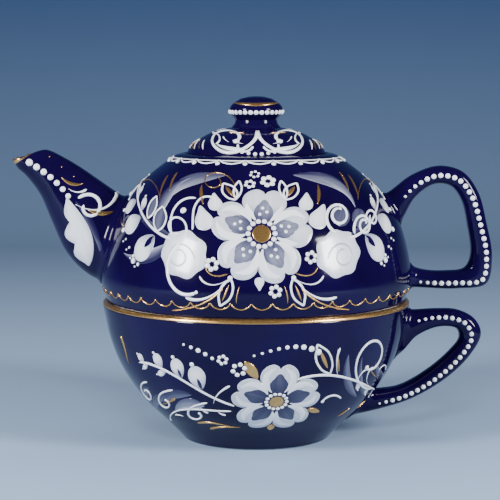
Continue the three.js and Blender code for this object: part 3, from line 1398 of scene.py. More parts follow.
    def curl(
        self,
        start: Sequence[float],
        heading: float,
        length: float,
        bends: tuple[float, float],
        width: float,
        swell: Swell = Swell.LINE,
        dot: float = 0.0,
        **look: object,
    ) -> np.ndarray:
        """A stroke along a winding path, and a dot at its end where one is asked for.

        Args:
            start: where it sets off.
            heading: its first direction, in degrees from sideways.
            length: how long it is.
            bends: how fast it turns at its start and its end.
            width: how wide the stroke is.
            swell: how the width changes along it.
            dot: radius of the dot at its end, 0 for none.
            **look: what else the stroke takes, by name.

        Returns:
            The path, for what grows along it.
        """
        path = winding(start, heading, length, bends)
        self.stroke(path, width, swell, **look)
        if dot:
            self.dot(float(path[-1][0]), float(path[-1][1]), dot)
        return path

    def spray(
        self,
        stem: np.ndarray,
        leaves: int,
        widths: tuple[float, float],
        lean: float,
        slits: int = 0,
    ) -> None:
        """Plump leaves along one side of a stem.

        Args:
            stem: the path they grow from.
            leaves: how many there are.
            widths: how broad the first and the last are.
            lean: angle between a leaf and its stem, in degrees.
            slits: how many of them, from the first, have a dark slit.
        """
        slope = np.gradient(stem, axis=0)
        for index in range(leaves):
            share = (index + 0.6) / leaves
            here = int(share * (len(stem) - 1))
            angle = math.atan2(slope[here][1], slope[here][0]) + math.radians(lean)
            ahead = np.array([math.cos(angle), math.sin(angle)])
            width = float(np.interp(share, [0, 1], widths))
            base = stem[here] + ahead * width * 0.2
            self.plump_leaf(base, base + ahead * width * 1.55, width, slit=index < slits)

    def rose_and_highlight(self, x: float, y: float, radius: float) -> None:
        """A round bloom of scalloped edge with a spiral laid into its white; the broad white is partly a
        painted highlight, laid where the glaze shows a lamp's glare.

        Args:
            x: where its middle is, sideways.
            y: where its middle is, upwards.
            radius: its radius.
        """
        turns = np.linspace(0, 2 * math.pi, 43)[:-1]
        reach = radius * (1 + 0.05 * np.cos(7 * turns))
        self.patch(
            np.stack([x + reach * np.cos(turns), y + 0.92 * reach * np.sin(turns)], axis=1), 0.96, 0.88,
            Layer.PETAL, 100
        )
        self.curl(
            (x - 0.5 * radius, y - 0.2 * radius), 80, 3.2 * radius, (-70 / radius, -220 / radius), 1.3,
            cover=0.8, layer=Layer.SHADE
        )

    def scalloped_leaf(
        self,
        tip: tuple[float, float],
        base: tuple[float, float],
        width: float,
        lobes: int,
    ) -> None:
        """A broad leaf with one even edge and one edge of round lobes.

        Args:
            tip: its pointed end.
            base: where it grows from.
            width: how broad it is.
            lobes: how many lobes its edge has.
        """
        start, end = np.array(tip, float), np.array(base, float)
        run = end - start
        beside = np.array([-run[1], run[0]]) / np.linalg.norm(run)
        share = np.linspace(0, 1, 10 * lobes + 1)
        spine = start + run * share[:, None]
        swell = (np.sin(math.pi * share**1.3) ** 0.7 * width / 2)[:, None]
        lobe = (0.35 + 0.65 * np.abs(np.sin(math.pi * lobes * share)))[:, None]
        edge = [*(spine - beside * swell * lobe), *(spine + beside * swell)[-2:0:-1]]
        self.patch(edge, 0.96, 0.86, Layer.PETAL, 110)

    def petal(self, turn: float, length: float, half: float, inner: float, shade: float) -> None:
        """A petal of two lobes round a grey-blue heart with three dots.

        Args:
            turn: its direction, in degrees from sideways.
            length: from the flower's middle to the tips of its lobes.
            half: half its breadth.
            inner: how far out its heart reaches.
            shade: how white the heart is.
        """
        angle = math.radians(turn)
        ahead = np.array([math.cos(angle), math.sin(angle)])
        beside = np.array([-ahead[1], ahead[0]])

        def spot(out: float, side: float) -> tuple[float, float]:
            """A place by shares of the length and of the half breadth."""
            return tuple(ahead * out * length + beside * side * half)

        right = [
            (0.17, 0.16), (0.36, 0.60), (0.60, 0.98), (0.80, 0.94), (0.94, 0.66), (0.985, 0.36),
            (0.935, 0.10)
        ]
        outline = [spot(*place) for place in right] + [spot(0.875, 0.0)]
        outline += [spot(out, -side) for out, side in reversed(right)]
        self.patch(outline, 0.88, 0.84, Layer.PETAL, turn, base=0.62)
        for side in (1, -1):
            sweep = [
                spot(0.26, 0.30 * side), spot(0.50, 0.62 * side), spot(0.74, 0.60 * side),
                spot(0.90, 0.24 * side)
            ]
            self.stroke(sweep, half * 0.50, Swell.LEAF, 1.0, Layer.PETAL, fade=(0.95, 1.0))
        reach = inner / length
        heart = [(0.19, 0.20), (0.33, 0.48), (0.52, 0.52), (0.68, 0.30), (reach, 0.0)]
        edge = [spot(*place) for place in heart] + [spot(out, -side) for out, side in reversed(heart[:-1])]
        self.patch(edge, shade, shade * 0.85, Layer.SHADE, turn, base=shade * 0.55)
        for out, side in self.petal_dots:
            self.dot(*spot(out, side), radius=0.036 * length)

    def flower(self, turn: float, length: float, half: float, shade: float, disc: float) -> None:
        """A flower of five even petals round a gold middle in a ring of beads.

        Args:
            turn: direction of its first petal, in degrees from sideways.
            length: how long a petal is.
            half: half a petal's breadth.
            shade: how white the petals' hearts are.
            disc: radius of the gold middle.
        """
        for step in range(5):
            self.petal(turn + 72 * step, length, half, 0.82 * length, shade)
        round_it = [
            (math.cos(a) * 1.28 * disc, math.sin(a) * 1.28 * disc)
            for a in np.linspace(0, 6.2832, 9)[:-1]
        ]
        self.patch(round_it, 0.0, 0.0, Layer.SHADE)
        inside = [(x / 1.28, y / 1.28) for x, y in round_it]
        self.patch(inside, 1.0, layer=Layer.ACCENT, gold=True)
        beads = 14
        for step in range(beads):
            angle = 2 * math.pi * step / beads
            self.dot(disc * 1.38 * math.cos(angle), disc * 1.38 * math.sin(angle), 0.27 * disc)


@dataclass
class Decoration:
    """Everything painted on one body."""

    body: str
    enamel: Gathered = field(default_factory=Gathered)
    gold: Gathered = field(default_factory=Gathered)
    dots: Dots = field(default_factory=Dots)

    def painter(self, canvas: RoundCanvas | SideCanvas) -> Painter:
        """A painter whose work is gathered here."""
        return Painter(canvas, self.enamel, self.gold, self.dots)

    def pieces(self, rig: NodeRig) -> list[tuple[bpy.types.Object, str]]:
        """The painting, the gilding and the dots, each with its material slot.

        Args:
            rig: the bead rig.

        Returns:
            Each object with the name of its slot.
        """
        made = []
        if self.enamel.total:
            made.append((self.enamel.piece(self.body + "_painting", Finish.BRUSHED), "white_enamel"))
        if self.gold.total:
            made.append((self.gold.piece(self.body + "_gilding", Finish.GOLD), "gilding"))
        if self.dots.sizes:
            made.append((self.dots.piece(self.body + "_dots", rig), "white_enamel"))
        return made


def settle(piece: bpy.types.Object, body: str, slot: str, *nodes: str) -> None:
    """Fixes a finished piece to its body and hides the plain solids that it stands for.

    Args:
        piece: the piece.
        body: the body it rides on.
        slot: its material slot; not used.
        nodes: the plain solids it stands for.
    """
    if nodes:
        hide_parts(*nodes)
    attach(piece, body)
    log.info("%s: %d faces on %s", piece.name, len(piece.data.polygons), body)


# ---------------------------------------------------------------- lofted pieces


@dataclass
class LoftedPiece:
    """A spout or handle luted to a turned wall."""

    name: str
    stations: Sequence[Sequence[float]]
    wall: Outline
    squareness: float = 2.5
    rows: int = 150
    sides: int = 48
    fillet_height: float = 2.4
    fillet_width: float = 1.5
    sunk: float = 1.6

    def loft(self) -> Loft:
        """The bar itself."""
        return Loft(self.stations, self.squareness)

    def _ring_points(self, loft: Loft, along: float, thinner: float = 0.0) -> np.ndarray:
        """One ring of the section, flared where it nears the wall.

        Args:
            loft: the surface.
            along: share of the length.
            thinner: how far inside the surface it lies, in millimetres.

        Returns:
            The ring's points.
        """
        turn = np.linspace(0, 2 * math.pi, self.sides, endpoint=False)
        share = np.full(self.sides, along)
        points = loft.surface(share, turn, thinner)
        if thinner:
            return points
        above = self.wall.height_above(points)
        near = np.clip(1 - above / self.fillet_height, 0, 1) ** 2
        middle = points.mean(axis=0)
        away = points - middle
        away /= np.maximum(np.linalg.norm(away, axis=1), 1e-9)[:, None]
        return points + away * (self.fillet_width * near)[:, None]

    def _close(self, rings: list[np.ndarray], hollow: bool) -> bpy.types.Object:
        """Joins rings into one closed skin, capped unless it is hollow.

        Args:
            rings: rings of points, in order.
            hollow: whether its ends stay uncapped.

        Returns:
            The closed object.
        """
        sides = self.sides
        faces: list[tuple[int, ...]] = []
        pairs = list(zip(range(len(rings) - 1), range(1, len(rings))))
        if hollow:
            pairs.append((len(rings) - 1, 0))
        for low, high in pairs:
            below, above = low * sides, high * sides
            for side in range(sides):
                following = (side + 1) % sides
                faces.append((below + side, below + following, above + following, above + side))
        if not hollow:
            faces.append(tuple(range(sides)))
            faces.append(tuple((len(rings) - 1) * sides + side for side in reversed(range(sides))))
        mesh = smooth_mesh(self.name, np.vstack(rings), faces)
        faces_out(mesh)
        return new_object(self.name, mesh, Finish.COBALT)

    def _trim(self, piece: bpy.types.Object) -> bpy.types.Object:
        """Cuts away what would stand inside the wall.

        Args:
            piece: the piece.

        Returns:
            The trimmed piece.
        """
        inner = self.wall.moved(-self.sunk)
        profile = [(0.0, inner[0][1]), *inner, (0.0, inner[-1][1])]
        cutter = new_object("wall", turned_mesh("wall", profile, sides=180), Finish.COBALT)
        cut(piece, cutter)
        piece.data.shade_smooth()
        return piece

    def handle(self) -> bpy.types.Object:
        """The bar as a solid handle."""
        loft = self.loft()
        rings = [self._ring_points(loft, along) for along in np.linspace(0, 1, self.rows)]
        return self._trim(self._close(rings, hollow=False))

    def spout(self, mouth_wall: float, root_wall: float) -> bpy.types.Object:
        """The bar as a hollow spout with a rounded lip.

        Args:
            mouth_wall: thickness of the wall at the lip.
            root_wall: thickness from the middle to the root.

        Returns:
            The spout.
        """
        loft = self.loft()
        shares = np.linspace(0, 1, self.rows)
        walls = np.interp(shares, [0, 0.43], [mouth_wall, root_wall])
        outer = [self._ring_points(loft, share) for share in shares]
        inner = [self._ring_points(loft, share, wall) for share, wall in zip(shares, walls)]
        beyond = outer[0] - outer[1]
        beyond /= np.linalg.norm(beyond, axis=1)[:, None]
        lip = []
        for step in np.linspace(0, math.pi, 9)[1:-1]:
            share = (1 - math.cos(step)) / 2
            lip.append(outer[0] * (1 - share) + inner[0] * share + beyond * math.sin(step) * mouth_wall * 0.5)
        rings = list(reversed(outer)) + lip + inner
        return self._trim(self._close(rings, hollow=True))


def bead_line(
    loft: Loft,
    dots: Dots,
    across: Sequence[tuple[float, float]],
    ends: tuple[float, float],
    gap: float,
    radii: tuple[float, float, float],
) -> None:
    """Beads along both sides of a bar.

    Args:
        loft: the bar.
        dots: where the beads are gathered.
        across: share of the length, and how far from inner edge (-1) to outer (1) it runs.
        ends: shares of the length where the line starts and stops.
        gap: distance between beads.
        radii: radius of a bead at the start, along the line and at the end.
    """
    shares = np.linspace(*ends, 400)
    line = np.interp(shares, *np.array(across).T)
    turn = np.arccos(np.sign(line) * np.abs(line) ** (1 / loft.power))
    for side in (-1, 1):
        places, normals = loft.lifted(shares, side * turn, 0.1)
        travelled = np.concatenate([[0], np.cumsum(np.linalg.norm(np.diff(places, axis=0), axis=1))])
        for way in np.linspace(0, travelled[-1], round(travelled[-1] / gap) + 1):
            spot = [float(np.interp(way, travelled, axis)) for axis in places.T]
            facing = [float(np.interp(way, travelled, axis)) for axis in normals.T]
            stops = [radii[0], radii[1], radii[1], radii[2]]
            size = float(np.interp(way / travelled[-1], [0, 0.12, 0.93, 1], stops))
            dots.add(np.array(spot), np.array(facing), size)


# ---------------------------------------------------------------- the cup


@dataclass
class Cup:
    """The cup: bowl, handle, gilded rim and its painting."""

    body: str = "cup"
    wall: float = 3.1
    rim_radius: float = 63.0
    rim_height: float = 57.0
    foot_radius: float = 30.2
    foot_width: float = 4.2
    foot_recess: float = 3.0
    outside: tuple = ((31.4, 1.6), (37.5, 8), (46.6, 17), (54.9, 29), (59.9, 41), (62.2, 51), (63.0, 55.2))
    handle_stations: tuple = (
        (52.0, 52.0, 52.0, 30.0, 6.4),
        (65.0, 52.3, 60.0, 34.6, 5.8),
        (74.5, 52.8, 65.6, 41.0, 5.2),
        (83.0, 52.3, 75.2, 45.2, 4.9),
        (90.2, 48.5, 82.6, 44.4, 4.8),
        (92.9, 42.4, 83.6, 40.4, 4.8),
        (88.6, 33.6, 79.8, 35.2, 4.8),
        (78.7, 23.8, 70.6, 27.2, 4.9),
        (64.5, 15.3, 59.4, 20.8, 5.2),
        (51.0, 10.9, 50.4, 19.2, 5.8),
        (36.0, 7.6, 36.0, 17.0, 6.6),
    )

    def __post_init__(self) -> None:
        """Fits the outline and starts the painting."""
        self.outline = Outline(self.outside)
        self.paint = Decoration(self.body)
        self.grip = LoftedPiece("cup_handle", self.handle_stations, self.outline)

    def build(self, beads: NodeRig) -> None:
        """Makes every piece of the cup.

        Args:
            beads: rig that lays the dots.
        """
        settle(self.make_bowl(), self.body, "cobalt_glaze", "cup_bowl")
        settle(self.grip.handle(), self.body, "cobalt_glaze", "cup_handle")
        settle(self.make_rim_gilding(), self.body, "gilding")
        for turn in (0.0, 180.0):
            self.paint_side(turn)
        line = ((0.0, 0.55), (0.2, 0.42), (0.3, 0.2), (0.42, 0.0), (0.6, 0.15), (1.0, 0.3))
        bead_line(self.grip.loft(), self.paint.dots, line, (0.135, 0.90), 2.75, (0.6, 1.0, 0.5))
        for piece, slot in self.paint.pieces(beads):
            settle(piece, self.body, slot)

    def make_bowl(self) -> bpy.types.Object:
        """Foot ring, bowl, rounded rim and the inside, one turned piece."""
        foot_inner = self.foot_radius - self.foot_width
        inside = self.outline.moved(-self.wall)[30:][::-1]
        low = [
            (0, self.foot_recess), (foot_inner - 1.2, self.foot_recess), (foot_inner, 0),
            (self.foot_radius, 0)
        ]
        rim = [
            (self.rim_radius - 0.4, self.rim_height - 0.6),
            (self.rim_radius - 1.5, self.rim_height),
            (self.rim_radius - 2.6, self.rim_height - 0.5),
        ]
        profile = [*low, *self.outline.moved(0), *rim, *inside, (30, 7.4), (20, 6.4), (0, 6.2)]
        profile = rounded_corners(profile, 0.7)
        top = max(range(len(profile)), key=lambda i: profile[i][1])

        def zone(step: int, radius: float, height: float) -> int:
            """Clear glaze inside and under the foot, bare where it stands, cobalt outside."""
            if step > top or (step < top and radius < foot_inner):
                return 1
            return 2 if height < 0.25 else 0

        mesh = turned_mesh("cup_bowl", profile, zone_marks(profile, zone))
        return new_object("cup_bowl", mesh, Finish.COBALT, Finish.CLEAR, Finish.BARE)

    def make_rim_gilding(self) -> bpy.types.Object:
        """A band of gold over the rim."""
        top, radius, skin, rows = self.rim_height, self.rim_radius, 0.09, 26
        curve = [
            (radius, top - 1.45),
            (radius - 0.35, top - 0.55),
            (radius - 1.5, top + 0.02),
            (radius - 2.65, top - 0.5),
            (radius - 3.15, top - 1.6),
        ]
        line = smooth_path(curve, rows)
        slope = np.gradient(line, axis=0)
        normal = np.stack([slope[:, 1], -slope[:, 0]], axis=1)
        normal /= np.linalg.norm(normal, axis=1)[:, None]
        fringe = np.clip(np.minimum(np.arange(rows), np.arange(rows)[::-1]) / 2.0, 0, 1)[:, None]
        outer = line + normal * (skin * fringe + 0.02)
        inner = (line - normal * 0.3)[::-1]
        ring = [tuple(point) for point in np.vstack([outer, inner])]
        mesh = turned_mesh("cup_rim_gilding", [*ring, ring[0]])
        faces_out(mesh)
        return new_object("cup_rim_gilding", mesh, Finish.GOLD)

    def paint_side(self, turn: float) -> None:
        """The whole design of one side: a flower between a leafy spray and a scrolled one.

        Args:
            turn: how far round the piece this side faces, in degrees.
        """
        brush = self.paint.painter(RoundCanvas(self.outline, 8.7 + turn, 30.0))
        brush.petal_dots = ()
        self.leafy_spray(brush)
        self.scrolled_spray(brush)
        brush.flower(88, 18, 7.8, 0.30, 2.9)
        for angle, length, width in ((125, 9.5, 4.4), (-22, 6.5, 3.2), (-92, 4.0, 3.4)):
            out = np.array([math.cos(math.radians(angle)), math.sin(math.radians(angle))])
            brush.stroke([out * 14, out * (14 + length)], width, Swell.LEAF, gold=True)
        brush.row(winding((-10, 21.5), 18, 26, (0.2, -4.2)), (0.5, 0.85, 1.35), 3.2)
        for x, y, ring, size in ((-15.5, 15.5, 2.3, 0.95), (-22, 19.5, 1.6, 0.75)):
            brush.rosette(x, y, ring, size)
        brush.row(winding((-38, 25), -14, 13, (-1, -2)), (0.55, 1.0, 0.75), 3.0)

    def leafy_spray(self, brush: Painter) -> None:
        """Stem, leaves, washes and curls that trail away from the flower.

        Args:
            brush: lays the strokes.
        """
        for x, y, heading in ((-34, 2, 175), (-46, 0, 200), (-58, 2, 215)):
            brush.curl(
                (x, y), heading, 18, (2, 6), 6.0, Swell.LEAF, cover=0.50, layer=Layer.WASH, fade=(0.1, 1)
            )
        stem = brush.curl((-16, -2.5), 160, 50, (-1.2, 2.4), 1.2)
        brush.spray(stem[4:], 4, (8.4, 2.6), -38, slits=2)
        brush.spray(stem[13:], 2, (3.4, 2.4), 42)
        for x, y, length in ((-27, -1.5, 24), (-43, 3.5, 26)):
            brush.curl((x, y), 200, length, (-1, 26), 1.2, dot=0.7)
        brush.curl((-58, 5), 190, 30, (4, 24), 1.2)
        brush.curl(
            (-28, -3.5), 172, 17, (1, 9), 7.6, Swell.WISP, cover=0.85, layer=Layer.WASH, fade=(0.35, 1.0)
        )
        brush.curl((-17, -5.5), 186, 36, (-1.6, 6), 1.0, dot=0.6)
        for x, y, heading in ((-30, -4.5, -60), (-23, -5.5, -55), (-38, -12, 160)):
            brush.curl((x, y), heading, 5, (6, 14), 1.3, Swell.COMMA)
        brush.curl((-18.5, 8), 215, 12, (2, 8), 1.5, Swell.DROP)
        for x, y, heading, length in (
            (-31, -15.5, 25, 16), (-25, -19, 35, 13), (-42, -1, 230, 10), (-75, 24.5, -50, 13)
        ):
            brush.curl((x, y), heading, length, (-4.5, -1), 2.4, Swell.DROP, gold=True)

    def scrolled_spray(self, brush: Painter) -> None:
        """Stem, outlined leaf, great scroll and washes that lead to the handle.

        Args:
            brush: lays the strokes.
        """
        for x, y, heading, width in ((29, 20, -100, 4.6), (36.5, 18, -98, 3.2), (46, 14, -60, 4.8)):
            brush.curl(
                (x, y), heading, 26, (2.4, 2.8), width, Swell.LEAF, cover=0.52, layer=Layer.WASH,
                fade=(0.3, 1)
            )
        stem = brush.curl((7, 10.5), 20, 52, (-2.6, 1.2), 1.3)
        brush.spray(stem[12:], 3, (2.6, 3.4), -48)
        brush.leaf((21, 12), (14.5, 25.5), 6.2, 1.0, 2.0)
        brush.curl((24.5, 11.5), 105, 12, (-1, -6), 1.5, Swell.COMMA)
        brush.curl((49, -0.5), 168, 62, (-1.6, -11), 1.3, dot=1.1)
        for x, y, heading in ((36, 4.6, 100), (45, 3, 150), (49, 7.8, 60)):
            brush.curl((x, y), heading, 12, (-6, -18), 1.0, Swell.COMMA)
        brush.curl((28.5, -1.5), 130, 11, (7, 14), 1.1, dot=0.8)
        for x, y, heading in ((43.5, 10.5, -40), (46, -12.5, 25), (30, -13.4, 28), (25, 12.5, 95)):
            brush.curl((x, y), heading, 8, (1, 2), 1.0, Swell.LEAF, gold=True)


# ---------------------------------------------------------------- the pot


@dataclass
class Pot:
    """The pot: body with floor and lid seat, spout, handle and its painting."""

    body: str = "teapot"
    wall: float = 3.2
    ledge_height: float = 57.3
    ledge_radius: float = 61.2
    collar_radius: float = 58.8
    collar_bottom: float = 51.0
    underside: float = 54.6
    floor: float = 58.0
    shoulder_top: float = 116.9
    mouth_radius: float = 24.9
    seat_height: float = 116.0
    seat_radius: float = 28.9
    strainer_height: float = 82.0
    strainer_pitch: float = 6.4
    strainer_radius: float = 1.9
    strainer_reach: float = 61.0
    strainer_depth: float = 16.0
    front_turn: float = 2.0
    white_swags: int = 20
    white_swags_up: float = 66.2
    outside: tuple = (
        (61.5, 58.3), (63.6, 66), (62.0, 78), (58.2, 90), (50.9, 101), (42.7, 109), (33.0, 116.2)
    )
    spout_stations: tuple = (
        (-92.7, 116.2, -99.5, 113.7, 5.3),
        (-89.6, 117.6, -97.4, 110.5, 5.8),
        (-85.6, 118.2, -94.2, 107.6, 6.4),
        (-77.8, 114.6, -88.4, 99.7, 8.0),
        (-71.2, 110.6, -83.8, 88.8, 9.8),
        (-64.0, 105.6, -77.8, 75.8, 12.0),
        (-56.2, 100.2, -68.0, 66.3, 14.2),
        (-48.0, 95.0, -54.0, 62.0, 15.5),
    )
    handle_stations: tuple = (
        (46.0, 95.6, 52.5, 80.0, 6.4),
        (54.9, 101.4, 59.6, 89.2, 5.8),
        (63.8, 108.0, 65.2, 98.8, 5.2),
        (74.8, 111.7, 72.9, 104.1, 4.9),
        (84.6, 109.2, 79.6, 103.3, 4.8),
        (91.0, 100.8, 84.0, 97.6, 4.8),
        (94.6, 88.0, 86.6, 87.2, 4.8),
        (97.0, 74.5, 88.0, 74.8, 4.9),
        (94.8, 63.2, 85.6, 69.8, 5.0),
        (83.0, 61.1, 78.0, 68.6, 5.1),
        (68.0, 61.5, 68.0, 69.2, 5.5),
        (56.0, 62.2, 56.0, 74.0, 6.6),
    )

    def __post_init__(self) -> None:
        """Fits the outline and starts the painting."""
        self.outline = Outline(self.outside)
        self.paint = Decoration(self.body)
        self.beak = LoftedPiece(
            "pot_spout", self.spout_stations, self.outline, squareness=2.0, sides=64, fillet_height=3.0
        )
        self.grip = LoftedPiece("pot_handle", self.handle_stations, self.outline)

    def build(self, beads: NodeRig, garland: NodeRig, strainer: NodeRig) -> None:
        """Makes every piece of the pot.

        Args:
            beads: rig that lays the dots.
            garland: rig that lays the swags.
            strainer: rig that makes the strainer's pierced middle.
        """
        settle(self.make_body(strainer), self.body, "cobalt_glaze", "pot_body", "pot_floor", "pot_seat")
        settle(self.beak.spout(0.9, 2.3), self.body, "cobalt_glaze", "pot_spout")
        settle(self.grip.handle(), self.body, "cobalt_glaze", "pot_handle")
        settle(self.make_lip_gilding(), self.body, "gilding")
        gold = self.make_swags(garland, "pot_gold_swags", 50, 2.8, 2.6, 0.62, Finish.GOLD)
        settle(gold, self.body, "gilding")
        white = self.make_swags(
            garland, "pot_white_swags", self.white_swags, self.white_swags_up, 2.4, 0.8, Finish.THICK
        )
        settle(white, self.body, "white_enamel")
        for turn in (0.0, 180.0):
            self.paint_side(turn)
        for side in (-1, 1):
            self.paint_spout(side)
        line = (
            (0.0, 0.0), (0.15, 0.0), (0.30, -0.02), (0.45, 0.1), (0.6, 0.32), (0.72, 0.48), (0.8, 0.25),
            (1.0, 0.3)
        )
        bead_line(self.grip.loft(), self.paint.dots, line, (0.135, 0.915), 2.85, (0.6, 1.08, 0.6))
        for piece, slot in self.paint.pieces(beads):
            settle(piece, self.body, slot)

    def make_body(self, strainer: NodeRig) -> bpy.types.Object:
        """Collar, ledge, belly, lid seat, hollow and floor, with the strainer's holes.

        Args:
            strainer: rig that makes the strainer's pierced middle.

        Returns:
            The body.
        """
        inside = self.outline.moved(-self.wall)[4:-6][::-1]
        profile = [
            (0, self.underside),
            (self.collar_radius - 4.6, self.underside),
            (self.collar_radius - 3.4, self.collar_bottom),
            (self.collar_radius - 0.8, self.collar_bottom),
            (self.collar_radius, self.collar_bottom + 1),
            (self.collar_radius, self.ledge_height),
            (self.ledge_radius, self.ledge_height),
            *self.outline.moved(0),
            (30.6, self.shoulder_top),
            (self.seat_radius + 0.4, self.shoulder_top),
            (self.seat_radius, self.seat_height),
            (self.mouth_radius, self.seat_height),
            (self.mouth_radius, self.seat_height - self.wall),
            (31.4, self.seat_height - self.wall - 0.4),
            *inside,
            (self.collar_radius - 4.4, self.floor),
            (0, self.floor),
        ]
        profile = rounded_corners(profile, 0.8)

        def zone(step: int, radius: float, height: float) -> int:
            """Clear glaze in the hollow and under the floor, cobalt outside."""
            under_seat = radius < self.seat_radius - 0.2 or height < self.seat_height - 0.4
            inner = step > len(profile) // 2 and under_seat
            under = height < self.ledge_height - 0.2 and step < len(profile) // 2
            return 1 if inner or under else 0

        mesh = turned_mesh("pot_body", profile, zone_marks(profile, zone))
        body = new_object("pot_body", mesh, Finish.COBALT, Finish.CLEAR)
        middle = bpy.data.meshes.new("strainer_middle")
        middle.from_pydata([(0, 0, 0)], [], [])
        bars = strainer.bake(
            "strainer_bars", middle, Finish.CLEAR, Holes_Round=6, Pitch=self.strainer_pitch * MM,
            Hole_Radius=self.strainer_radius * MM, Depth=self.strainer_depth * MM
        )
        turn = Vector((0, 0, 1)).rotation_difference(Vector((-1, 0, 0))).to_matrix().to_4x4()
        bars.data.transform(turn)
        bars.data.transform(Matrix.Translation(Vector((-self.strainer_reach, 0, self.strainer_height)) * MM))
        cut(body, bars)
        body.data.shade_smooth()
        return body

    def make_lip_gilding(self) -> bpy.types.Object:
        """A gold line round the spout's lip."""
        loft = self.beak.loft()
        sides = 72
        turn = np.linspace(0, 2 * math.pi, sides, endpoint=False)
        shares = np.linspace(0.0, 0.075, 5)
        rings = []
        for share, lift in zip(shares, (0.0, 0.12, 0.14, 0.12, -0.05)):
            rings.append(loft.lifted(np.full(sides, share), turn, lift)[0])
        for share in reversed(shares):
            rings.append(loft.lifted(np.full(sides, share), turn, -0.35)[0])
        beyond = rings[0] - rings[1]
        beyond /= np.linalg.norm(beyond, axis=1)[:, None]
        rings[0] = rings[0] + beyond * 0.5
        rings[-1] = rings[-1] + beyond * 0.62
        faces = []
        for low in range(len(rings)):
            here, there = low * sides, (low + 1) % len(rings) * sides
            for side in range(sides):
                following = (side + 1) % sides
                faces.append((here + side, here + following, there + following, there + side))
        mesh = smooth_mesh("spout_lip_gilding", np.vstack(rings), faces)
        faces_out(mesh)
        return new_object("spout_lip_gilding", mesh, Finish.GOLD)

    def make_swags(
        self,
        garland: NodeRig,
        name: str,
        count: int,
        up: float,
        rise: float,
        line: float,
        finish: Finish,
    ) -> bpy.types.Object:
        """A garland of swags round the pot.

        Args:
            garland: the rig that repeats a swag.
            name: the piece's name.
            count: how many swags go round.
            up: height of their lowest points, along the outline.
            rise: how far their ends stand above that.
            line: how wide the brush was.
            finish: gold or white.

        Returns:
            The piece.
        """
        canvas = RoundCanvas(self.outline, self.front_turn, up)
        radius = float(self.outline.at(np.array([up + rise]))[0][0])
        half = math.pi * radius / count
        one = Gathered()
        brush = Painter(canvas, one, one, Dots())
        swag = [(-half, rise), (-half * 0.72, rise * 0.42), (0, 0), (half * 0.72, rise * 0.42), (half, rise)]
        brush.stroke(swag, line)
        mesh = smooth_mesh(name + "_one", np.vstack(one.points), one.faces)
        return garland.bake(name, mesh, finish, Count=count)

    def paint_side(self, turn: float) -> None:
        """The whole design of one side: sprays on both hands of a great flower.

        Args:
            turn: how far round the piece this side faces, in degrees.
        """
        brush = self.paint.painter(RoundCanvas(self.outline, self.front_turn + turn, 32.0))
        for hand in (-1, 1):
            brush.hand = hand
            self.branch(brush)
            self.lower_fan(brush)
            self.crown_leaves(brush)
        brush.hand = -1
        self.feathered_scrolls(brush)
        brush.hand = 1
        self.ring_scrolls(brush)
        self.bouquet(brush)
        self.shoulder_dots(brush)

    def bouquet(self, brush: Painter) -> None:
        """The great flower with the rosettes and the small bud round it.

        Args:
            brush: lays the strokes.
        """
        brush.flower(84, 20, 8.7, 0.56, 3.7)
        self.bud(brush, -1.0, -19.0, 180, 0.62)
        for x, y, ring, size in (
            (-4, 22.5, 1.6, 0.75), (3, 24, 2.1, 1.1), (-2, 28, 1.6, 0.6), (19, -9.5, 1.8, 0.9),
            (-19, -12, 1.9, 1.0), (5, -22, 1.8, 0.9)
        ):
            brush.rosette(x, y, ring, size)

    def crown_leaves(self, brush: Painter) -> None:
        """Bud, outlined leaves and feathered plume on one hand above the flower.

        Args:
            brush: lays the strokes.
        """
        # the plume's wash runs from grey where it starts to whiter at its lower end: partly brush cover,
        # partly a painted highlight
        brush.curl(
            (13, 27.5), -4, 36, (-0.6, -3.6), 7.4, Swell.WISP, cover=0.9, layer=Layer.WASH,
            fade=(0.95, 0.35), wane=(0.6, 1.0)
        )
        self.bud(brush, 17.8, 13.4, -6, 1.0)
        brush.leaf((9.5, 14.5), (14.5, 23), 5.4, 0.95, 1.8)
        brush.leaf((9.5, 15), (8.0, 24.5), 3.0, 0.85)
        brush.curl((22.5, 12), 72, 10, (2, 4), 1.8, Swell.LEAF, gold=True)
        for x, y, heading in ((36.5, 28, -56), (42, 26, -58)):
            brush.curl((x, y), heading, 11, (-5, -1), 1.5, Swell.LEAF, gold=True)

    def branch(self, brush: Painter) -> None:
        """Rose, leafy branch, dots and gold line that spread out on one hand; the rose's white is partly a
        painted highlight.

        Args:
            brush: lays the strokes.
        """
        brush.curl((36, -2), 20, 22, (-1, 3), 4.0, Swell.LEAF, cover=0.42, layer=Layer.WASH, fade=(0.3, 1.0))
        stem = brush.curl((36, -3), 8, 46, (2.6, -2.0), 1.4)
        brush.spray(stem[1:], 4, (10.5, 4.6), -68, slits=1)
        tip = brush.curl(stem[15], 70, 22, (-3, -16), 1.3, dot=0.6)
        brush.curl(tip[6], 30, 8, (-4, -10), 1.1, Swell.COMMA)
        brush.spray(stem[8:], 3, (4.4, 2.6), 52)
        for step in range(4):
            brush.dot(63 - 3.2 * step, -5.0 - 3.0 * step, 0.5 + 0.1 * step)
            brush.dot(65 - 3.2 * step, -6.0 - 3.0 * step, 0.45)
        # the rose's broad white is partly real white paint and partly a painted highlight of the side lamp's
        # glare
        brush.rose_and_highlight(31, -8.5, 10.2)
        brush.curl((43.5, 13), 72, 40, (-5.2, 0.6), 0.65, gold=True)

    def ring_scrolls(self, brush: Painter) -> None:
        """Rings that wind inwards over thin washes, with an onion-shaped bud.

        Args:
            brush: lays the strokes.
        """
        for x, y, size in ((33, 6.5, 4.6), (42.5, 5, 4.2)):
            turns = np.linspace(0, 2 * math.pi, 13)[:-1]
            brush.patch(
                np.stack([x + size * np.cos(turns), y + size * np.sin(turns)], axis=1), 0.38, 0.32,
                Layer.PETAL, 60
            )
        self.bud(brush, 23, 6.5, -24, 1.35)
        brush.curl((30, -0.5), 150, 40, (-6.5, -20), 1.5, dot=0.7)
        brush.curl((39, -1.5), 100, 32, (-7, -26), 1.5)
        brush.curl((46, 2), 95, 22, (-8, -30), 1.2)

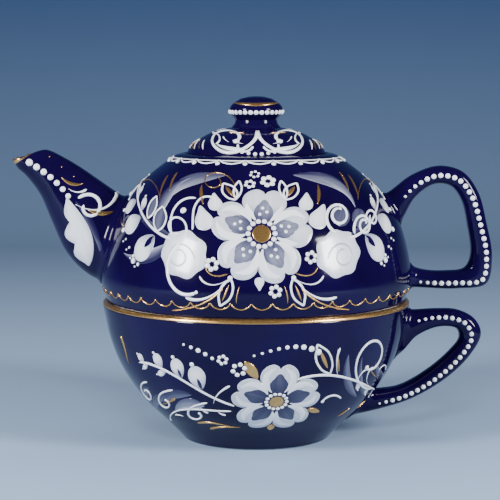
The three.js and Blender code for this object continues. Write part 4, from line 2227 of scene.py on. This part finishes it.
    def feathered_scrolls(self, brush: Painter) -> None:
        """Streaky leaves, long curls and a drop-shaped bud.

        Args:
            brush: lays the strokes.
        """
        for x, y, heading, width in ((45, 2, 98, 6.4), (36, -4, -40, 5.4)):
            brush.curl(
                (x, y), heading, 30, (1.4, 2.6), width, Swell.WISP, cover=0.78, layer=Layer.WASH,
                fade=(0.1, 1.0)
            )
        for step in range(2):
            self.ribbed_leaf(
                brush, (43.5 + 6 * step, -0.5 + 5 * step), (41.5 + 4.5 * step, 10.5 + 4.5 * step),
                6.2 - 1.8 * step
            )
        brush.curl((36, -2), 70, 24, (3.0, 7), 1.1)
        brush.curl((27, 1), 95, 20, (-3, 14), 1.0)
        brush.curl((31, -2.5), 130, 24, (-9, -20), 1.0)
        self.bud(brush, 22.5, 6, -14, 1.3)
        brush.dot(31.2, 9, 1.3)
        brush.curl((31, -3.5), -30, 32, (-3.4, -8), 1.5, dot=0.7)

    def lower_fan(self, brush: Painter) -> None:
        """Curls, an outlined leaf and gold sprigs on one hand below the flower.

        Args:
            brush: lays the strokes.
        """
        for heading, length, last, width in ((-52, 21, 6, 1.7), (-34, 14, 14, 1.1)):
            brush.curl((12, -17), heading, length, (1, last), width, Swell.COMMA)
        brush.leaf((11.6, -17.4), (16, -28), 4.8, 0.95, 0.9)
        brush.curl((13, -15.4), -22, 10, (2, 18), 0.7, gold=True)
        brush.curl((14.8, -21), -48, 24, (2.4, 1.0), 0.8, gold=True)
        brush.curl((8.4, -20), -68, 7, (-2, -6), 0.6, Swell.LEAF, gold=True)
        brush.dot(12, -17, 0.95)

    def bud(self, brush: Painter, x: float, y: float, lean: float, size: float) -> None:
        """A teardrop bud whose tip points up before it leans.

        Args:
            brush: lays the strokes.
            x: where its middle is, sideways.
            y: where its middle is, upwards.
            lean: how far it leans, in degrees.
            size: how big it is, 1 being a plain bud.
        """
        angle = math.radians(lean)
        shape = (
            (0, 4.6), (-1.6, 2.2), (-3.0, -0.6), (-2.4, -3.0), (0, -3.9), (2.4, -3.0), (3.0, -0.6),
            (1.6, 2.2)
        )
        outline = [
            (
                x + size * (a * math.cos(angle) - b * math.sin(angle)),
                y + size * (a * math.sin(angle) + b * math.cos(angle))
            )
            for a, b in shape
        ]
        brush.patch(outline, 0.95, 0.88, Layer.PETAL, 90 + lean)

    def ribbed_leaf(
        self,
        brush: Painter,
        base: tuple[float, float],
        tip: tuple[float, float],
        width: float,
    ) -> None:
        """An outlined leaf filled with a thin streaky wash.

        Args:
            brush: lays the strokes.
            base: where it grows from.
            tip: its pointed end.
            width: how broad it is.
        """
        start, end = np.array(base), np.array(tip)
        run = end - start
        beside = np.array([-run[1], run[0]]) / np.linalg.norm(run) * width / 2
        outline = [
            start, start + run * 0.25 + beside * 0.8, start + run * 0.6 + beside, end,
            start + run * 0.6 - beside, start + run * 0.25 - beside * 0.8
        ]
        brush.patch(outline, 0.42, 0.34, Layer.PETAL, math.degrees(math.atan2(run[1], run[0])))
        brush.leaf(base, tip, width * 1.06, 0.95)

    def shoulder_dots(self, brush: Painter) -> None:
        """Dots that hang from the white garland, and a gold spiral below it.

        Args:
            brush: lays the strokes.
        """
        around = 2 * math.pi * float(self.outline.at(np.array([self.white_swags_up]))[0][0])
        for step in range(-5, 5):
            brush.dot(around * (step + 0.5) / self.white_swags, 34.2, 0.95)
        brush.curl((-9.5, 20), 98, 34, (3, 22), 0.55, gold=True)

    def paint_spout(self, side: int) -> None:
        """Beads, the white scalloped leaf and curls on one side of the spout.

        Args:
            side: which side, 1 or -1.
        """
        brush = self.paint.painter(SideCanvas(self.beak.loft(), float(side)))
        brush.row(winding((-92, 113.3), -30, 21, (-0.6, -1.6)), (1.5, 1.3, 1.15), 3.3)
        for step in range(3):
            x, z = -84 + 5 * step, 115.6 - 4 * step
            brush.stroke([(x - 0.35, z), (x + 0.35, z)], 0.7, Swell.LEAF, gold=True)
        brush.scalloped_leaf((-77, 100), (-68, 71), 11.5, 3)
        brush.curl(
            (-73, 98), -46, 28, (-1.4, -1.6), 3.2, Swell.WISP, cover=0.4, layer=Layer.WASH, fade=(1.0, 0.1)
        )
        brush.curl((-76, 103), -40, 8, (8, 12), 1.3, Swell.COMMA)
        brush.curl((-72, 99), 40, 24, (-8, -20), 1.5)
        brush.curl((-73, 96.6), -26, 21, (1.5, 10), 1.8, Swell.COMMA, dot=0.6)
        brush.curl((-79, 107.6), -48, 10, (5, 9), 1.5, Swell.LEAF, gold=True)
        brush.curl((-68, 94.4), -22, 11, (2, 7), 2.0, Swell.LEAF, gold=True)


# ---------------------------------------------------------------- the lid


@dataclass
class Lid:
    """The lid: domed shell with flange and skirt, the knob and its painting."""

    body: str = "lid"
    radius: float = 28.4
    flange_bottom: float = 116.3
    top: float = 127.4
    skirt_radius: float = 24.2
    skirt_wall: float = 2.6
    skirt_bottom: float = 108.5
    vent_radius: float = 1.5
    vent_distance: float = 15.5
    knob_bottom: float = 127.7
    object_top: float = 140.0
    outside: tuple = ((28.4, 117.1), (26.4, 120.3), (22.6, 123.0), (17.4, 125.6), (9.6, 127.4))
    knob_outside: tuple = ((8.4, 130.4), (10.8, 133.8), (9.9, 136.6), (6.4, 139.0))

    def __post_init__(self) -> None:
        """Fits the outline and starts the painting."""
        self.outline = Outline(self.outside)
        self.button = Outline(self.knob_outside, 40)
        self.paint = Decoration(self.body)

    def build(self, beads: NodeRig) -> None:
        """Makes every piece of the lid.

        Args:
            beads: rig that lays the dots.
        """
        settle(self.make_shell(), self.body, "cobalt_glaze", "lid_shell")
        settle(self.make_knob(), self.body, "cobalt_glaze", "lid_knob")
        for turn in (0.0, 180.0):
            self.paint_side(turn)
        self.paint_knob()
        for piece, slot in self.paint.pieces(beads):
            settle(piece, self.body, slot)

    def make_shell(self) -> bpy.types.Object:
        """Dome, flange and skirt, with the steam vent."""
        skirt_inner = self.skirt_radius - self.skirt_wall
        profile = [
            (0, self.top - 3.2),
            (9, self.top - 3.2),
            (15.4, self.top - 4.3),
            (19.4, self.top - 6),
            (skirt_inner, self.top - 8),
            (skirt_inner, self.skirt_bottom),
            (self.skirt_radius, self.skirt_bottom),
            (self.skirt_radius, self.flange_bottom),
            (self.radius - 0.3, self.flange_bottom),
            *self.outline.moved(0),
            (0, self.top),
        ]
        profile = rounded_corners(profile, 0.8)

        def zone(step: int, radius: float, height: float) -> int:
            """Cobalt on the dome, clear glaze below, bare where the flange rests."""
            if self.skirt_radius < radius and height < self.flange_bottom + 0.1:
                return 2
            hidden = height < self.flange_bottom or radius < skirt_inner + 0.5
            return 1 if step < 40 and hidden and height < self.top - 0.5 else 0

        mesh = turned_mesh("lid_shell", profile, zone_marks(profile, zone), sides=200)
        shell = new_object("lid_shell", mesh, Finish.COBALT, Finish.CLEAR, Finish.BARE)
        hole = [(0, 112.0), (self.vent_radius, 112.0), (self.vent_radius, 132.0), (0, 132.0)]
        drill = new_object("drill", turned_mesh("drill", hole, sides=32), Finish.CLEAR)
        shift = Vector((0, self.vent_distance, 0)) * MM
        drill.data.transform(Matrix.Translation(shift))
        cut(shell, drill)
        shell.data.shade_smooth()
        return shell

    def make_knob(self) -> bpy.types.Object:
        """Waisted stem under a domed button, with a small flare where it meets the dome."""
        profile = [
            (0, self.top - 0.6),
            (10.4, self.top - 0.6),
            (9.7, self.knob_bottom + 0.1),
            (8.8, self.knob_bottom + 1.1),
            *self.button.moved(0),
            (3.0, self.object_top - 0.15),
            (0, self.object_top),
        ]
        mesh = turned_mesh("lid_knob", rounded_corners(profile, 0.9), sides=120)
        return new_object("lid_knob", mesh, Finish.COBALT)

    def paint_side(self, turn: float) -> None:
        """The scrolls of one side of the dome.

        Args:
            turn: how far round the piece this side faces, in degrees.
        """
        brush = self.paint.painter(RoundCanvas(self.outline, 1.8 + turn, 8.5))
        for hand in (-1, 1):
            brush.hand = hand
            brush.curl((0.5, 9), -100, 62, (3.2, 10), 1.7, dot=1.3)
            brush.curl((5, -5.4), -6, 13, (2, 3), 2.2, Swell.LEAF)
            brush.curl((2, -4), -70, 10, (12, 26), 1.1)
            for x, y, heading in ((6, -2.5, 10), (12, -1.5, 35)):
                brush.curl((x, y), heading, 5, (6, 10), 1.1, Swell.COMMA)
            brush.curl((5, 5.5), 25, 8, (-6, -6), 1.1, Swell.LEAF, gold=True)
            for step in range(3):
                x = 25 + 7 * step
                brush.curl((x, -6.4), 62, 6, (4, 8), 1.2, Swell.LEAF)
                brush.curl((x + 3, -6.4), 80, 5, (-3, -6), 0.8, Swell.LEAF, gold=True)
            brush.curl((24, 4.5), 160, 14, (8, 16), 1.0)
        brush.hand = 1
        brush.row([(-9, -6.6), (0, -7.8), (9, -6.6)], (0.6, 0.85, 0.6), 2.7)

    def paint_knob(self) -> None:
        """A ring of beads round the button and two broad gold arcs above it."""
        ring_up, arc_up, beads = 4.0, 7.6, 30
        brush = self.paint.painter(RoundCanvas(self.button, 0.0, ring_up))
        radius = float(self.button.at(np.array([ring_up]))[0][0])
        for step in range(beads):
            brush.dot(2 * math.pi * radius * step / beads, 0.0, 1.02)
        crown = self.paint.painter(RoundCanvas(self.button, 0.0, arc_up))
        quarter = math.pi * float(self.button.at(np.array([arc_up]))[0][0]) / 2
        for middle in (0, 2):
            arc = [((middle + share) * quarter, 0.9 * abs(share)) for share in (-0.85, -0.4, 0, 0.4, 0.85)]
            crown.stroke(arc, 2.2, Swell.LEAF, gold=True)


# ---------------------------------------------------------------- the studio


@dataclass
class Studio:
    """Floor, backdrop, lights and camera."""

    camera_distance: float = 0.6924
    camera_height: float = 0.15058
    camera_tilt: float = 6.07
    lens: float = 121.83
    shift: float = -0.0124

    def build(self) -> None:
        """Sets everything up."""
        self.make_sweep()
        self.make_camera()
        self.make_world()
        self.soft_box("key_left", (-0.64, -0.48, 0.36), (0.17, 0.30), 11.5)
        self.soft_box("key_right", (0.66, -0.45, 0.38), (0.17, 0.30), 10.5)
        self.soft_box("front_fill", (0.0, -1.5, 1.0), (0.5, 0.3), 12.0, mirrored=False)
        self.soft_box("backdrop", (0.0, 0.55, 1.3), (1.2, 0.4), 4.2, mirrored=False)

    def make_sweep(self) -> None:
        """One sheet of paper that lies flat and curves up behind."""
        line = [(-1.2, 0.0), (0.75, 0.0)]
        line += [
            (0.75 + 0.4 * math.sin(a), 0.4 - 0.4 * math.cos(a))
            for a in np.linspace(0.1, math.pi / 2, 12)
        ]
        line += [(1.15, 2.2)]
        points = [(x, y, z - 0.0002) for y, z in line for x in (-2.2, 2.2)]
        faces = [(2 * i, 2 * i + 1, 2 * i + 3, 2 * i + 2) for i in range(len(line) - 1)]
        mesh = bpy.data.meshes.new("paper_sweep")
        mesh.from_pydata(points, [], faces)
        mesh.shade_smooth()
        new_object("paper_sweep", mesh, Finish.PAPER)

    def make_camera(self) -> None:
        """A long lens a little above the set, looking slightly down."""
        data = bpy.data.cameras.new("camera")
        data.lens, data.sensor_width, data.shift_x = self.lens, 36.0, self.shift
        camera = bpy.data.objects.new("camera", data)
        camera.location = (0.0, -self.camera_distance, self.camera_height)
        camera.rotation_euler = (math.radians(90 - self.camera_tilt), 0.0, 0.0)
        bpy.context.scene.collection.objects.link(camera)
        bpy.context.scene.camera = camera

    def make_world(self) -> None:
        """A dim, cool room."""
        world = bpy.data.worlds.new("room")
        world.use_nodes = True
        world.node_tree.nodes["Background"].inputs["Color"].default_value = (0.55, 0.64, 0.80, 1.0)
        world.node_tree.nodes["Background"].inputs["Strength"].default_value = 0.08
        bpy.context.scene.world = world

    def soft_box(
        self,
        name: str,
        place: tuple[float, float, float],
        size: tuple[float, float],
        power: float,
        mirrored: bool = True,
    ) -> None:
        """A rectangular light that looks at the middle of the set.

        Args:
            name: what it is called.
            place: where it hangs, in metres.
            size: its two sides, in metres.
            power: how strong it is, in watts.
            mirrored: whether the glaze mirrors it.
        """
        data = bpy.data.lights.new(name, "AREA")
        data.shape, data.size, data.size_y, data.energy = "RECTANGLE", size[0], size[1], power
        lamp = bpy.data.objects.new(name, data)
        lamp.location = place
        lamp.visible_glossy = mirrored
        lamp.rotation_euler = (Vector((0, 0, 0.07)) - Vector(place)).to_track_quat("-Z", "Y").to_euler()
        bpy.context.scene.collection.objects.link(lamp)


def main() -> None:
    """Builds the set."""
    logging.basicConfig(level=logging.INFO, format="%(message)s")
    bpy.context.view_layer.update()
    Studio().build()
    beads, garland, strainer = bead_rig(), garland_rig(), strainer_rig()
    Cup().build(beads)
    Pot().build(beads, garland, strainer)
    Lid().build(beads)


if __name__ == "__main__":
    main()
